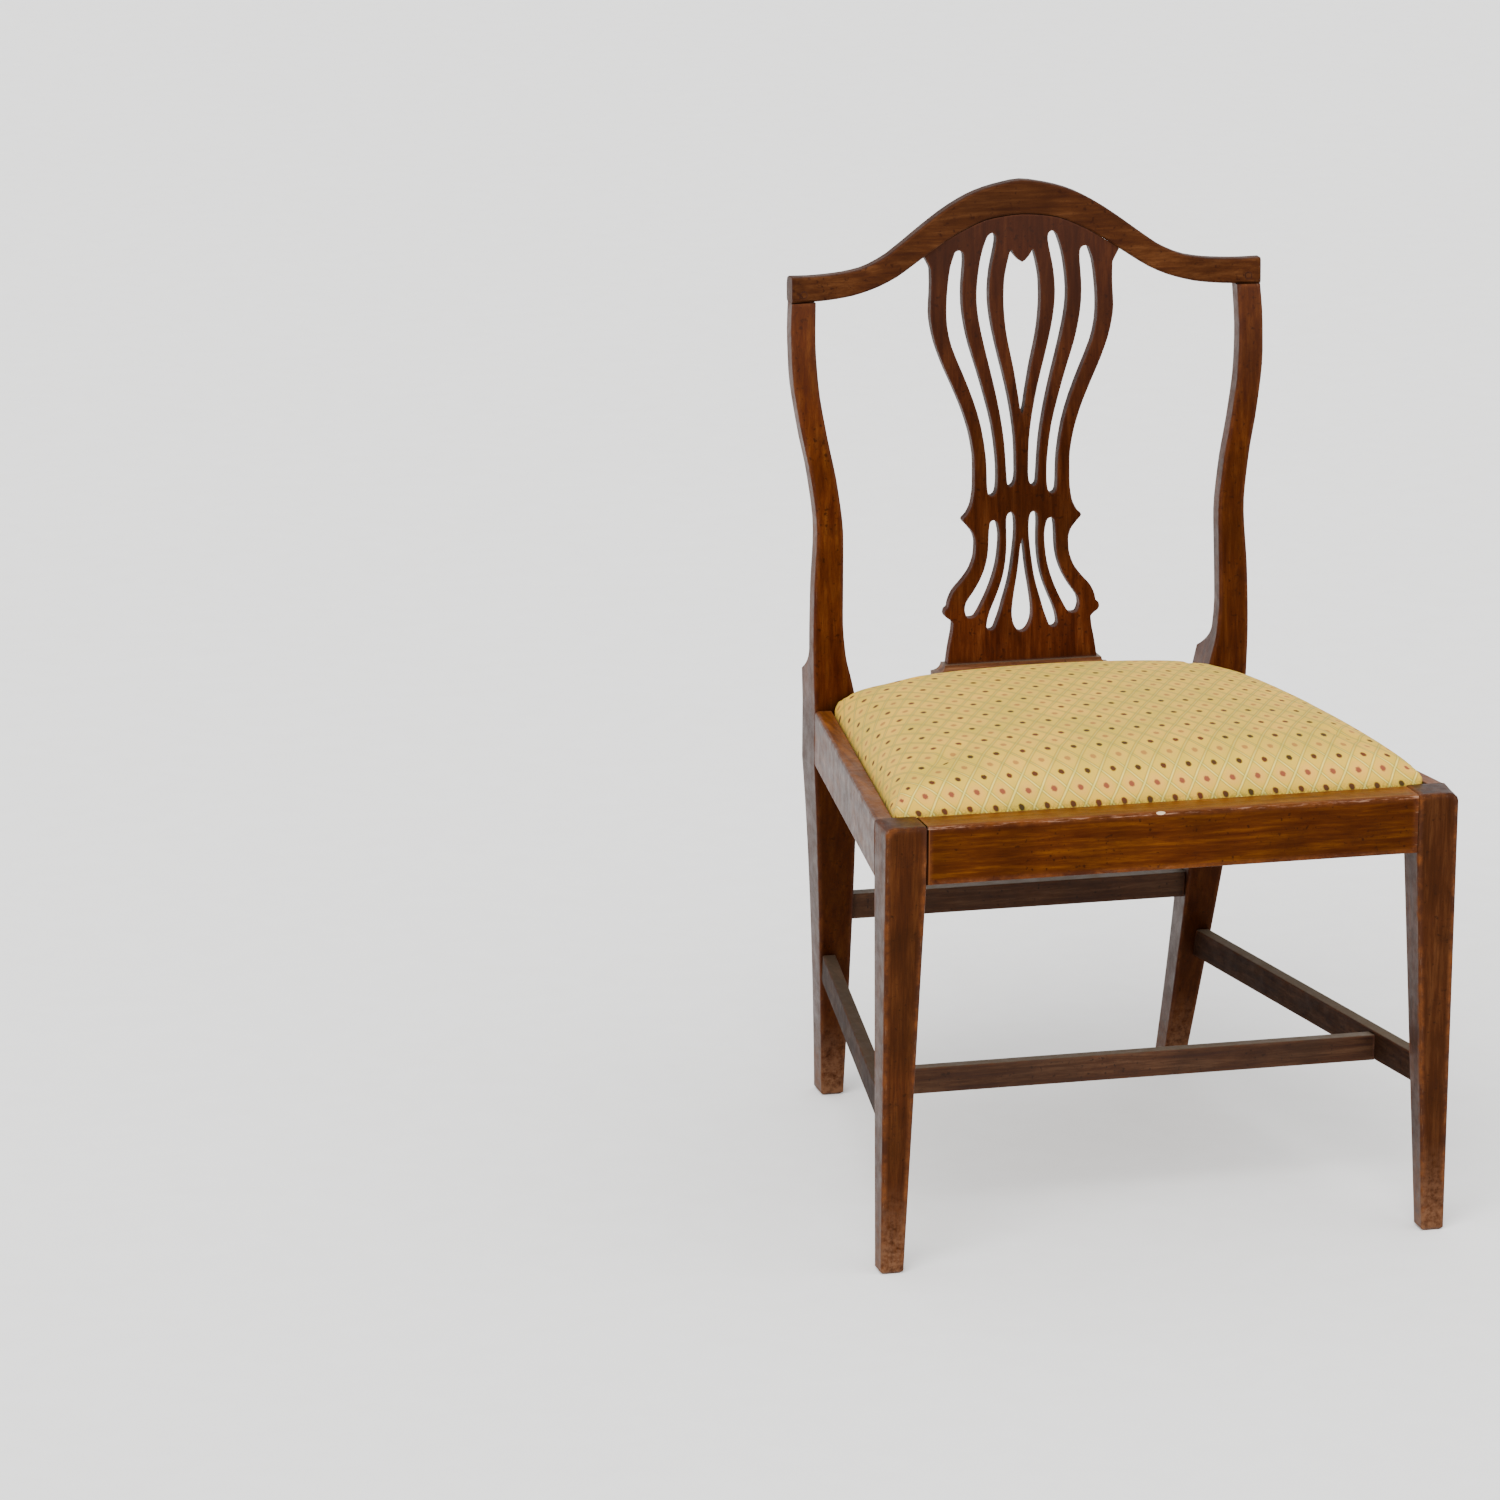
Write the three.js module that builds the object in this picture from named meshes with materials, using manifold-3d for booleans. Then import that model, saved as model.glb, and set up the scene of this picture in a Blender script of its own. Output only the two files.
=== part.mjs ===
import * as THREE from 'three';
import { mergeVertices } from 'three/addons/utils/BufferGeometryUtils.js';
import Module from 'manifold-3d';

const wasm = await Module();
wasm.setup();

// A mahogany side chair of about 1790 with a shield-shaped back and a drop-in seat.
// Lengths are millimetres. X is across the chair, Y runs from the front faces to the back, Z is up.

// Driving dimensions of the whole chair
const frontWidth = 550;
const seatHeight = 427;
const seatDepth = 455;
const crestTopHeight = 919;

// Half the width of the shield and of the seat's back edge, as shares of the front width
const backWidthShare = 0.4331;
const seatBackWidthShare = 0.4;
const backHalfWidth = backWidthShare * frontWidth;
const seatBackHalfWidth = seatBackWidthShare * frontWidth;

// Levels of the back, as shares of its height over the seat, and the fall of the seat to the back
const crestJointShare = 0.7846;
const crestEndShare = 0.8354;
const crestJointHeight = seatHeight + crestJointShare * (crestTopHeight - seatHeight);
const crestEndHeight = seatHeight + crestEndShare * (crestTopHeight - seatHeight);
const seatFallShare = 0.0209;

// Fits and small sizes shared by the joints
const gap = 0.3;
const overrun = 6;

// Front legs
const legWidth = 39;
const footWidth = 22;
const footChamfer = 2.5;
const legRound = 1.6;
const legTopRound = 2.2;

// Back posts, each one piece from foot to crest
const footBackReach = 74;
const footDepth = 30;
const footDrawIn = 30;
const footPostWidth = 23;
const footKickPower = 1.25;
const heelDepth = 49;
const heelRise = 23;
const heelScoop = 26;
const heelReachShare = 0.93;
const heelKickPower = 1.6;
const postDepth = 22.5;
const postRakePower = 1.6;
const postRound = 1.6;
const postBackRound = 5;
const legStations = 14;
const heelStations = 6;
const postStations = 26;

// Seat rails
const railHeight = 55.5;
const railStripFront = 38;
const railStripSide = 17;
const ledgeWidth = 12;
const rebateDepth = 20;
const backRailSetback = 2;
const backRailInset = 1;
const railEdgeRound = 3;
const railInnerRound = 1;

// Mortise and tenon joints
const tenonThickness = 10;
const tenonHeight = 28;
const frontTenonLength = 22;
const tenonSetback = 12;
const postTenonLength = 21;
const tenonMargin = 3;
const smallTenonThickness = 6;
const smallTenonHeight = 17;
const smallTenonLength = 13;
const medialTenonLength = 8;

// Stretchers
const stretcherFallShare = 0.01;
const stretcherHeight = 28;
const stretcherThickness = 13.5;
const stretcherTop = 163;
const stretcherFrontInset = 5;
const stretcherBackInset = 2;
const medialSetback = 117;
const medialTop = 159.7;
const medialHeight = 25;
const rearStretcherTop = 225.4;
const rearStretcherHeight = 25.5;
const rearStretcherThickness = 16;
const rearStretcherSetback = 4;
const stretcherRound = 1.2;

// Glue blocks
const blockLeg = 46;
const blockHeight = 27;
const blockLift = 4;

// Crest rail
const crestThickness = 21;
const crestSag = 21.8;
const crestRound = 2.5;
const crestBackRound = 9;
const crestStations = 52;
const crestTenonHeight = 14;
const crestTenonWidth = 14;
const pegRadius = 3.2;
const pegProud = 0.3;
const pegSides = 12;
const pegEndWall = 4;
const pegHeightShare = 0.55;

// Splat and its shoe
const splatThickness = 10;
const splatWidthShare = 0.3883;
const splatFootRise = 21;
const splatSetback = 36;
const splatRakeShare = 0.06;
const splatShoulderShare = 1.09;
const splatTongueHalfWidth = 30;
const splatTongueHeight = 10;
const splatTongueInset = 2;
const splatFootTongueInset = 14.3;
const splatFootTongueDepth = 22;
const shoeTopReach = 3.7;
const shoeBaseReach = 13.7;
const shoeTopMargin = 5;
const shoeBaseMargin = 15;
const shoeCoveHeight = 8;
const shoeCoveSteps = 5;

// Drop-in seat
const seatClearance = 1.5;
const coverThickness = 1.6;
const seatFrameHeight = 17.5;
const seatFrameFrontWidth = 58;
const seatFrameSideWidth = 48;
const seatTenonLength = 16;
const seatTenonThickness = 7;
const seatTenonShoulder = 8;
const webThickness = 1.2;
const webWidthShare = 0.806;
const webWeave = 1;
const webPitchDeepShare = 0.3024;
const websAcross = 5;
const websDeep = 3;
const webEndInset = 12;
const webEase = 2;
const hessianThickness = 0.8;
const hessianInset = 9;
const cushionEdgeHeight = 25;
const cushionCrownHeight = 30;
const cushionEdgeSoftness = 8;
const cushionRimWidth = 22;
const cushionCornerRadius = 9;
const cushionHemRound = 2;
const cushionSidePoints = 7;
const cornerSteps = 2;
const flapWidth = 24;
const tackSetback = 17;
const tackHeadRadius = 4;
const tackHeadHeight = 0.9;
const tackShankRadius = 1;
const tackTipRadius = 0.4;
const tackLength = 9;
const tackSides = 6;
const tacksPerSide = 4;
const tackEndShare = 0.16;

// Outline of a back post above the seat: share of the height to the crest joint, share of the back's half width
const postOuterShares = [
  [0, seatBackHalfWidth / backHalfWidth], [0.15, 0.9295], [0.3, 0.924], [0.45, 0.9095], [0.58, 0.932],
  [0.7, 0.97], [0.84, 0.9985], [0.92, 1], [1, 0.9925]
];
const postInnerShares = [
  [0, 0.741], [0.07, 0.7666], [0.14, 0.793], [0.22, 0.8035], [0.32, 0.8014], [0.43, 0.7985],
  [0.55, 0.8186], [0.68, 0.8598], [0.8, 0.89], [0.9, 0.898], [1, 0.8917]
];

// Edges of the crest rail: share of the half width, share of that edge's rise
const crestTopShares = [
  [0, 1], [0.1, 0.957], [0.2, 0.877], [0.31, 0.722], [0.41, 0.531], [0.51, 0.321],
  [0.6, 0.148], [0.7, 0.037], [0.8, 0], [0.9, -0.008], [1, 0.004]
];
const crestBottomShares = [
  [0, 1], [0.13, 0.959], [0.25, 0.815], [0.36, 0.616], [0.45, 0.425], [0.55, 0.226],
  [0.65, 0.1], [0.76, 0.025], [0.88, 0], [1, 0]
];
const crestArchShare = 0.688;

// Outer edge of the splat from foot to shoulder: share of its height, share of its half width
const splatEdgeShares = [
  [0, 0.825], [0.035, 0.8], [0.09, 0.757], [0.098, 0.785], [0.106, 0.836], [0.113, 0.852], [0.121, 0.845],
  [0.128, 0.812], [0.138, 0.803], [0.161, 0.755], [0.188, 0.643], [0.213, 0.56], [0.245, 0.513],
  [0.27, 0.507], [0.29, 0.53], [0.31, 0.6], [0.323, 0.65], [0.335, 0.6], [0.36, 0.545], [0.4, 0.521],
  [0.45, 0.52], [0.5, 0.55], [0.56, 0.63], [0.62, 0.746], [0.68, 0.872], [0.74, 0.966], [0.79, 1],
  [0.85, 0.987], [0.885, 0.99], [0.9, 1.02]
];

// Each slot on the right half: foot point, rows of height share with inner and outer width shares, top point
const upperOuterSlotShares = {
  foot: [0.373, 0.333],
  rows: [
    [0.389, 0.275, 0.385], [0.42, 0.266, 0.391], [0.461, 0.275, 0.4], [0.53, 0.319, 0.452],
    [0.591, 0.391, 0.538], [0.653, 0.476, 0.655], [0.712, 0.565, 0.771], [0.758, 0.616, 0.82],
    [0.804, 0.645, 0.828], [0.849, 0.646, 0.813], [0.89, 0.63, 0.785], [0.914, 0.63, 0.748]
  ],
  top: [0.926, 0.69]
};
const upperInnerSlotShares = {
  foot: [0.392, 0.127],
  rows: [
    [0.411, 0.067, 0.171], [0.438, 0.064, 0.18], [0.495, 0.072, 0.2], [0.557, 0.108, 0.245],
    [0.621, 0.168, 0.31], [0.685, 0.245, 0.386], [0.747, 0.314, 0.456], [0.792, 0.348, 0.492],
    [0.831, 0.358, 0.5], [0.877, 0.339, 0.48], [0.913, 0.305, 0.449], [0.941, 0.28, 0.408]
  ],
  top: [0.962, 0.325]
};
const lowerOuterSlotShares = {
  foot: [0.1, 0.565],
  rows: [
    [0.106, 0.5, 0.618], [0.12, 0.46, 0.636], [0.138, 0.415, 0.618], [0.16, 0.365, 0.544],
    [0.19, 0.311, 0.459], [0.222, 0.27, 0.402], [0.251, 0.251, 0.378], [0.283, 0.242, 0.371],
    [0.306, 0.259, 0.363]
  ],
  top: [0.32, 0.315]
};
const lowerInnerSlotShares = {
  foot: [0.07, 0.345],
  rows: [
    [0.082, 0.285, 0.396], [0.112, 0.232, 0.364], [0.137, 0.198, 0.314], [0.165, 0.158, 0.26],
    [0.194, 0.125, 0.216], [0.226, 0.102, 0.188], [0.258, 0.082, 0.176], [0.29, 0.069, 0.176],
    [0.32, 0.074, 0.177]
  ],
  top: [0.336, 0.127]
};
const heartOpeningShares = {
  foot: [0.555, 0],
  rows: [
    [0.571, 0.027], [0.591, 0.041], [0.621, 0.065], [0.653, 0.091], [0.685, 0.123], [0.717, 0.156],
    [0.747, 0.181], [0.781, 0.198], [0.808, 0.205], [0.838, 0.203], [0.861, 0.196], [0.886, 0.174],
    [0.906, 0.151], [0.92, 0.13], [0.9225, 0.112], [0.914, 0.092], [0.9055, 0.06]
  ],
  top: [0.895, 0]
};
const teardropShares = {
  foot: [0.0628, 0],
  rows: [
    [0.0665, 0.045], [0.0755, 0.08], [0.09, 0.108], [0.112, 0.117], [0.137, 0.105], [0.165, 0.085],
    [0.194, 0.061], [0.226, 0.04], [0.258, 0.023]
  ],
  top: [0.276, 0]
};
const openingSteps = 2;
const slotTipShare = 0.72;
const slotTipWidthShare = 0.69;
const edgeSteps = 3;
const shoulderSteps = 14;

// Rings of the cushion's top: across its rim from the edge, then in to the middle of the crown
const rimShares = [0, 0.05, 0.15, 0.33, 0.6, 1];
const crownShares = [0.86, 0.7, 0.52, 0.34, 0.16];

const mahogany = new THREE.MeshStandardMaterial({ color: 0x5a2a12, roughness: 0.42, metalness: 0 });
const beech = new THREE.MeshStandardMaterial({ color: 0x9c7448, roughness: 0.75, metalness: 0 });
const damask = new THREE.MeshStandardMaterial({ color: 0xcdb87a, roughness: 0.85, metalness: 0 });
const linen = new THREE.MeshStandardMaterial({ color: 0x9a8457, roughness: 0.95, metalness: 0 });
const horsehair = new THREE.MeshStandardMaterial({ color: 0x4a3f33, roughness: 1, metalness: 0 });
const iron = new THREE.MeshStandardMaterial({ color: 0x2c2a29, roughness: 0.5, metalness: 0.9 });

const chair = new THREE.Group();

function add(name, geometry, material) {
  const mesh = new THREE.Mesh(geometry, material);
  mesh.name = name;
  chair.add(mesh);
}

// A smooth curve through a table of pairs that keeps level at each peak and hollow
function through(table) {
  const last = table.length - 1;
  const slopes = [];
  for (let i = 0; i < last; i += 1) {
    slopes.push((table[i + 1][1] - table[i][1]) / (table[i + 1][0] - table[i][0]));
  }
  const tangents = table.map((pair, i) => {
    if (i === 0) return slopes[0];
    if (i === last) return slopes[last - 1];
    const before = slopes[i - 1];
    const after = slopes[i];
    return before * after <= 0 ? 0 : 2 * before * after / (before + after);
  });
  return (at) => {
    const t = THREE.MathUtils.clamp(at, table[0][0], table[last][0]);
    let i = 0;
    while (i < last - 1 && t > table[i + 1][0]) i += 1;
    const span = table[i + 1][0] - table[i][0];
    const s = (t - table[i][0]) / span;
    const start = table[i][1] * (1 + 2 * s) * (1 - s) ** 2 + tangents[i] * span * s * (1 - s) ** 2;
    const end = table[i + 1][1] * s ** 2 * (3 - 2 * s) + tangents[i + 1] * span * s ** 2 * (s - 1);
    return start + end;
  };
}

// The same for an edge that is mirrored about its first point, so that it is level there
function arched(table) {
  const [at, share] = table[1];
  return through([[-at, share], ...table]);
}

function steps(from, to, count) {
  const values = [];
  for (let i = 0; i <= count; i += 1) {
    values.push(from + (to - from) * i / count);
  }
  return values;
}

function indexed(points, triangles) {
  const geometry = new THREE.BufferGeometry();
  geometry.setAttribute('position', new THREE.Float32BufferAttribute(points.flat(), 3));
  geometry.setIndex(triangles.flat());
  return geometry;
}

// A closed body through rings of equal length, with each panel split along its shorter diagonal;
// each end is closed by a fan
function loft(rings) {
  const sides = rings[0].length;
  const points = rings.flat();
  const triangles = [];
  const length = (p, q) => Math.hypot(...points[p].map((value, axis) => value - points[q][axis]));
  for (let r = 0; r < rings.length - 1; r += 1) {
    for (let k = 0; k < sides; k += 1) {
      const a = r * sides + k;
      const b = r * sides + (k + 1) % sides;
      if (length(a, b + sides) < length(b, a + sides)) {
        triangles.push([a, b, b + sides], [a, b + sides, a + sides]);
      } else {
        triangles.push([a, b, a + sides], [b, b + sides, a + sides]);
      }
    }
  }
  const middle = (ring) => [0, 1, 2].map((axis) => ring.reduce((sum, p) => sum + p[axis], 0) / sides);
  const first = points.push(middle(rings[0])) - 1;
  const final = points.push(middle(rings[rings.length - 1])) - 1;
  const top = (rings.length - 1) * sides;
  for (let k = 0; k < sides; k += 1) {
    const next = (k + 1) % sides;
    triangles.push([first, next, k], [final, top + k, top + next]);
  }
  return indexed(points, triangles);
}

function box(x0, x1, y0, y1, z0, z1) {
  const geometry = new THREE.BoxGeometry(x1 - x0, y1 - y0, z1 - z0);
  return geometry.translate((x0 + x1) / 2, (y0 + y1) / 2, (z0 + z1) / 2);
}

// A flat outline of X and Y pairs raised from one height to another
function prism(outline, z0, z1) {
  const shape = new THREE.Shape(outline.map(([x, y]) => new THREE.Vector2(x, y)));
  return new THREE.ExtrudeGeometry(shape, { depth: z1 - z0, bevelEnabled: false }).translate(0, 0, z0);
}

// The seat and the stretchers fall a little towards the back
function settle(geometry, fallShare = seatFallShare) {
  const place = geometry.attributes.position;
  for (let i = 0; i < place.count; i += 1) {
    place.setZ(i, place.getZ(i) - fallShare * place.getY(i));
  }
  return geometry;
}

function solid(geometry) {
  const plain = geometry.clone();
  plain.deleteAttribute('normal');
  plain.deleteAttribute('uv');
  const merged = mergeVertices(plain);
  return new wasm.Manifold(new wasm.Mesh({
    numProp: merged.attributes.position.itemSize,
    vertProperties: merged.attributes.position.array,
    triVerts: new Uint32Array(merged.index.array)
  }));
}

function surface(body) {
  const mesh = body.getMesh();
  const geometry = new THREE.BufferGeometry();
  geometry.setAttribute('position', new THREE.BufferAttribute(mesh.vertProperties, 3));
  geometry.setIndex(new THREE.BufferAttribute(mesh.triVerts, 1));
  const flat = geometry.toNonIndexed();
  flat.computeVertexNormals();
  return flat;
}

function join(...geometries) {
  return geometries.map(solid).reduce((whole, next) => whole.add(next));
}

function cut(body, tools) {
  return tools.reduce((rest, tool) => rest.subtract(solid(tool)), body);
}

// Points of a rectangle with rounded corners: one radius on its near side, one on its far side,
// and another for the last corner of the far side where it differs
function rectangle(u0, u1, v0, v1, nearRound, farRound, lastRound = farRound) {
  const corners = [
    [u0, v0, 1, 1, nearRound, Math.PI], [u1, v0, -1, 1, nearRound, 1.5 * Math.PI],
    [u1, v1, -1, -1, lastRound, 0], [u0, v1, 1, -1, farRound, 0.5 * Math.PI]
  ];
  return corners.flatMap(([u, v, inU, inV, radius, start]) => steps(0, 1, cornerSteps).map((turn) => {
    const angle = start + turn * Math.PI / 2;
    return [u + radius * (inU + Math.cos(angle)), v + radius * (inV + Math.sin(angle))];
  }));
}

function sharpRectangle(u0, u1, v0, v1) {
  return [[u0, v0], [u1, v0], [u1, v1], [u0, v1]];
}

// The same piece for the other side of the chair
function mirrored(geometry) {
  const twin = geometry.clone().scale(-1, 1, 1);
  const place = twin.attributes.position;
  const corner = [new THREE.Vector3(), new THREE.Vector3()];
  for (let i = 0; i < place.count; i += 3) {
    corner.forEach((point, k) => point.fromBufferAttribute(place, i + k));
    place.setXYZ(i, ...corner[1].toArray());
    place.setXYZ(i + 1, ...corner[0].toArray());
  }
  twin.computeVertexNormals();
  return twin;
}

// A right-hand piece and its twin on the left
function addPair(name, geometry, material) {
  add(`${name}_right`, geometry, material);
  add(`${name}_left`, mirrored(geometry), material);
}

// Levels and lines that several pieces share
const halfWidth = frontWidth / 2;
const railUnderside = seatHeight - railHeight;
const ledgeTop = seatHeight - rebateDepth;
const backSeatHeight = seatHeight - seatFallShare * seatDepth;
const heelBack = seatDepth + heelDepth;
const postKnee = railUnderside - seatFallShare * heelBack;
const postShoulder = seatHeight + heelRise;
const crestHalfWidth = backHalfWidth * postOuterShares[postOuterShares.length - 1][1];
const crestArchHeight = crestJointHeight + crestArchShare * (crestTopHeight - crestJointHeight);
const splatFootHeight = seatHeight + splatFootRise;
const splatFootSetback = seatDepth + splatSetback;
const splatHeight = crestArchHeight - splatFootHeight;
const splatHalfWidth = splatWidthShare * backHalfWidth;
const splatFootHalfWidth = splatHalfWidth * splatEdgeShares[0][1];
const footOutset = seatBackHalfWidth - footDrawIn;
const footInset = footOutset - footPostWidth;

// The outer line of the seat in plan
function seatEdge(y) {
  const share = (y - legWidth) / (seatDepth - legWidth);
  return halfWidth + (seatBackHalfWidth - halfWidth) * Math.max(share, 0);
}

// The front plane of the splat, which leans back
function splatPlane(z) {
  return splatFootSetback + splatRakeShare * (z - splatFootHeight);
}

// The front face of the crest rail, which is hollow in plan
function crestFront(x, z) {
  return splatPlane(z) - crestSag * (x / crestHalfWidth) ** 2;
}

const postRake = crestFront(crestHalfWidth, crestJointHeight) - seatDepth;
const outerCurve = through(postOuterShares);
const innerCurve = through(postInnerShares);
const seatBackInset = backHalfWidth * postInnerShares[0][1];

function postShare(z) {
  return (z - backSeatHeight) / (crestJointHeight - backSeatHeight);
}

function postOuter(z) {
  if (z > backSeatHeight) return backHalfWidth * outerCurve(postShare(z));
  return footOutset + (seatBackHalfWidth - footOutset) * Math.min(z / postKnee, 1);
}

function postInner(z) {
  if (z > backSeatHeight) return backHalfWidth * innerCurve(postShare(z));
  return footInset + (seatBackInset - footInset) * Math.min(z / postKnee, 1);
}

function postFront(z) {
  const kick = Math.max(1 - z / postKnee, 0);
  const rise = Math.max((z - seatHeight) / (crestJointHeight - seatHeight), 0);
  return seatDepth + footBackReach * kick ** footKickPower + postRake * rise ** postRakePower;
}

// The back of a post: kicked out at the foot, a block behind the seat, then a scoop up to the thin post
function postBack(z) {
  const kick = Math.max(1 - z / (heelReachShare * railUnderside), 0);
  if (z <= postShoulder) {
    return heelBack + (footBackReach + footDepth - heelDepth) * kick ** heelKickPower;
  }
  const fall = Math.max(1 - (z - postShoulder) / heelScoop, 0);
  const thin = postFront(z) + postDepth;
  return thin + (heelBack - thin) * fall ** 2;
}

// Front legs taper on their two inner faces
function legSize(z) {
  return footWidth + (legWidth - footWidth) * Math.min(z / railUnderside, 1);
}

// The joints: each is a box given by its limits in X, Y and Z, with its root inside the piece that has the tenon
const tenonBase = (railUnderside + ledgeTop - tenonHeight) / 2;
const tenonTop = tenonBase + tenonHeight;
const legFace = halfWidth - legWidth;
const sideTenonFront = tenonSetback + tenonThickness + tenonMargin;
const backTenonFront = seatDepth + postTenonLength + tenonMargin;
const frontRailTenon = [
  legFace - overrun, legFace + frontTenonLength,
  tenonSetback, tenonSetback + tenonThickness, tenonBase, tenonTop
];
const sideRailFrontTenon = [
  halfWidth - tenonSetback - tenonThickness, halfWidth - tenonSetback,
  sideTenonFront, legWidth + overrun, tenonBase, tenonTop
];
const sideRailBackTenon = [
  seatBackHalfWidth - tenonSetback - tenonThickness, seatBackHalfWidth - tenonSetback,
  seatDepth - overrun, seatDepth + postTenonLength, tenonBase, tenonTop
];
const backRailTenon = [
  seatBackInset - overrun, seatBackInset + postTenonLength,
  backTenonFront, backTenonFront + tenonThickness, tenonBase, tenonTop
];

// Side stretchers run from the front leg to the post, set in a little from their outer faces
const stretcherMiddle = stretcherTop - stretcherHeight / 2;
const stretcherBackLevel = stretcherMiddle - stretcherFallShare * heelBack;
const stretcherStart = legSize(stretcherMiddle);
const stretcherEnd = postFront(stretcherBackLevel);

function stretcherEdge(y) {
  const share = (y - stretcherStart) / (stretcherEnd - stretcherStart);
  const front = halfWidth - stretcherFrontInset;
  const back = postOuter(stretcherBackLevel) - stretcherBackInset;
  return front + (back - front) * share;
}

function smallTenon(x, y, z, alongX, alongY) {
  const sizeX = alongX || smallTenonThickness;
  const sizeY = alongY || smallTenonThickness;
  return [
    x - sizeX / 2, x + sizeX / 2, y - sizeY / 2, y + sizeY / 2,
    z - smallTenonHeight / 2, z + smallTenonHeight / 2
  ];
}

const smallTenonRun = smallTenonLength + overrun;
const stretcherFrontTenon = smallTenon(
  stretcherEdge(stretcherStart) - stretcherThickness / 2, stretcherStart + overrun - smallTenonRun / 2,
  stretcherMiddle, 0, smallTenonRun
);
const stretcherBackTenon = smallTenon(
  stretcherEdge(stretcherEnd) - stretcherThickness / 2, stretcherEnd - overrun + smallTenonRun / 2,
  stretcherMiddle, 0, smallTenonRun
);
const rearStretcherMiddle = rearStretcherTop - rearStretcherHeight / 2;
const rearStretcherLevel = rearStretcherMiddle - stretcherFallShare * heelBack;
const rearStretcherFront = postFront(rearStretcherLevel - rearStretcherHeight / 2) + rearStretcherSetback;
const rearStretcherTenon = smallTenon(
  postInner(rearStretcherLevel) - overrun + smallTenonRun / 2,
  rearStretcherFront + rearStretcherThickness / 2,
  rearStretcherMiddle, smallTenonRun, 0
);
const medialMiddle = medialSetback + stretcherThickness / 2;
const medialLevel = medialTop - medialHeight / 2;
const medialTenonRun = medialTenonLength + overrun;
const medialTenon = smallTenon(
  stretcherEdge(medialMiddle) - stretcherThickness - overrun + medialTenonRun / 2, medialMiddle,
  medialLevel, medialTenonRun, 0
);
const postMiddle = (postOuter(crestJointHeight) + postInner(crestJointHeight)) / 2;
const crestTenonFront = postFront(crestJointHeight) + (postDepth - tenonThickness) / 2;
const crestTenon = [
  postMiddle - crestTenonWidth / 2, postMiddle + crestTenonWidth / 2,
  crestTenonFront, crestTenonFront + tenonThickness,
  crestJointHeight - overrun, crestJointHeight + crestTenonHeight
];

function grown([x0, x1, y0, y1, z0, z1]) {
  return box(x0 - gap, x1 + gap, y0 - gap, y1 + gap, z0 - gap, z1 + gap);
}

function seatMortise(place) {
  return settle(grown(place));
}

function stretcherMortise(place) {
  return settle(grown(place), stretcherFallShare);
}

function otherSide([x0, x1, ...rest]) {
  return [-x1, -x0, ...rest];
}

const pegHeight = crestJointHeight + pegHeightShare * crestTenonHeight;
const pegFront = crestFront(postMiddle, pegHeight);

function peg(radius, front, back) {
  const geometry = new THREE.CylinderGeometry(radius, radius, back - front, pegSides);
  return geometry.translate(postMiddle, (front + back) / 2, pegHeight);
}

function pegHole() {
  return peg(pegRadius + gap, pegFront - overrun, pegFront + crestThickness - pegEndWall + gap);
}

function frontLeg() {
  const ring = (z, inset) => {
    const size = legSize(z);
    const flat = rectangle(halfWidth - size + inset, halfWidth - inset, inset, size - inset, legRound, legRound);
    return flat.map(([x, y]) => [x, y, z]);
  };
  const crown = steps(0, 1, cornerSteps).map((share) => {
    const angle = share * Math.PI / 2;
    return ring(seatHeight - legTopRound * (1 - Math.sin(angle)), legTopRound * (1 - Math.cos(angle)));
  });
  const blank = loft([ring(0, footChamfer), ring(footChamfer, 0), ring(railUnderside, 0), ...crown]);
  const mortises = [frontRailTenon, sideRailFrontTenon].map(seatMortise);
  return surface(cut(solid(blank), [...mortises, stretcherMortise(stretcherFrontTenon)]));
}

function backPost() {
  const ring = (z, inset) => {
    const rise = THREE.MathUtils.clamp((z - postShoulder) / heelScoop, 0, 1);
    const backRound = postRound + (postBackRound - postRound) * rise;
    const flat = rectangle(
      postInner(z) + inset, postOuter(z) - inset, postFront(z) + inset, postBack(z) - inset,
      postRound, backRound
    );
    return flat.map(([x, y]) => [x, y, z]);
  };
  const heights = [
    ...steps(footChamfer, postKnee, legStations), ...steps(backSeatHeight, postShoulder, heelStations),
    ...steps(postShoulder, postShoulder + heelScoop, heelStations).slice(1),
    ...steps(postShoulder + heelScoop, crestJointHeight - gap, postStations).slice(1)
  ];
  const blank = loft([ring(0, footChamfer), ...heights.map((z) => ring(z, 0))]);
  const mortises = [
    ...[sideRailBackTenon, backRailTenon].map(seatMortise),
    ...[stretcherBackTenon, rearStretcherTenon].map(stretcherMortise)
  ];
  return surface(cut(join(blank, box(...crestTenon)), [...mortises, pegHole()]));
}

function frontRail() {
  const end = legFace - gap;
  const section = rectangle(0, railStripFront, railUnderside, seatHeight, railInnerRound, railEdgeRound);
  const strip = loft([-end, end].map((x) => section.map(([y, z]) => [x, y, z])));
  const ledge = box(-end, end, railInnerRound, railStripFront + ledgeWidth, railUnderside, ledgeTop);
  return settle(surface(join(strip, ledge, box(...frontRailTenon), box(...otherSide(frontRailTenon)))));
}

function sideRail() {
  const ends = [legWidth + gap, seatDepth - gap];
  const section = rectangle(railUnderside, seatHeight, -railStripSide, 0, railInnerRound, railEdgeRound);
  const strip = loft(ends.map((y) => section.map(([z, x]) => [seatEdge(y) + x, y, z])));
  const wide = sharpRectangle(railUnderside, ledgeTop, -railStripSide - ledgeWidth, -railEdgeRound);
  const ledge = loft(ends.map((y) => wide.map(([z, x]) => [seatEdge(y) + x, y, z])));
  return settle(surface(join(strip, ledge, box(...sideRailFrontTenon), box(...sideRailBackTenon))));
}

const backRailFront = seatDepth + backRailSetback;
const backRailBack = heelBack - backRailInset;

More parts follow.
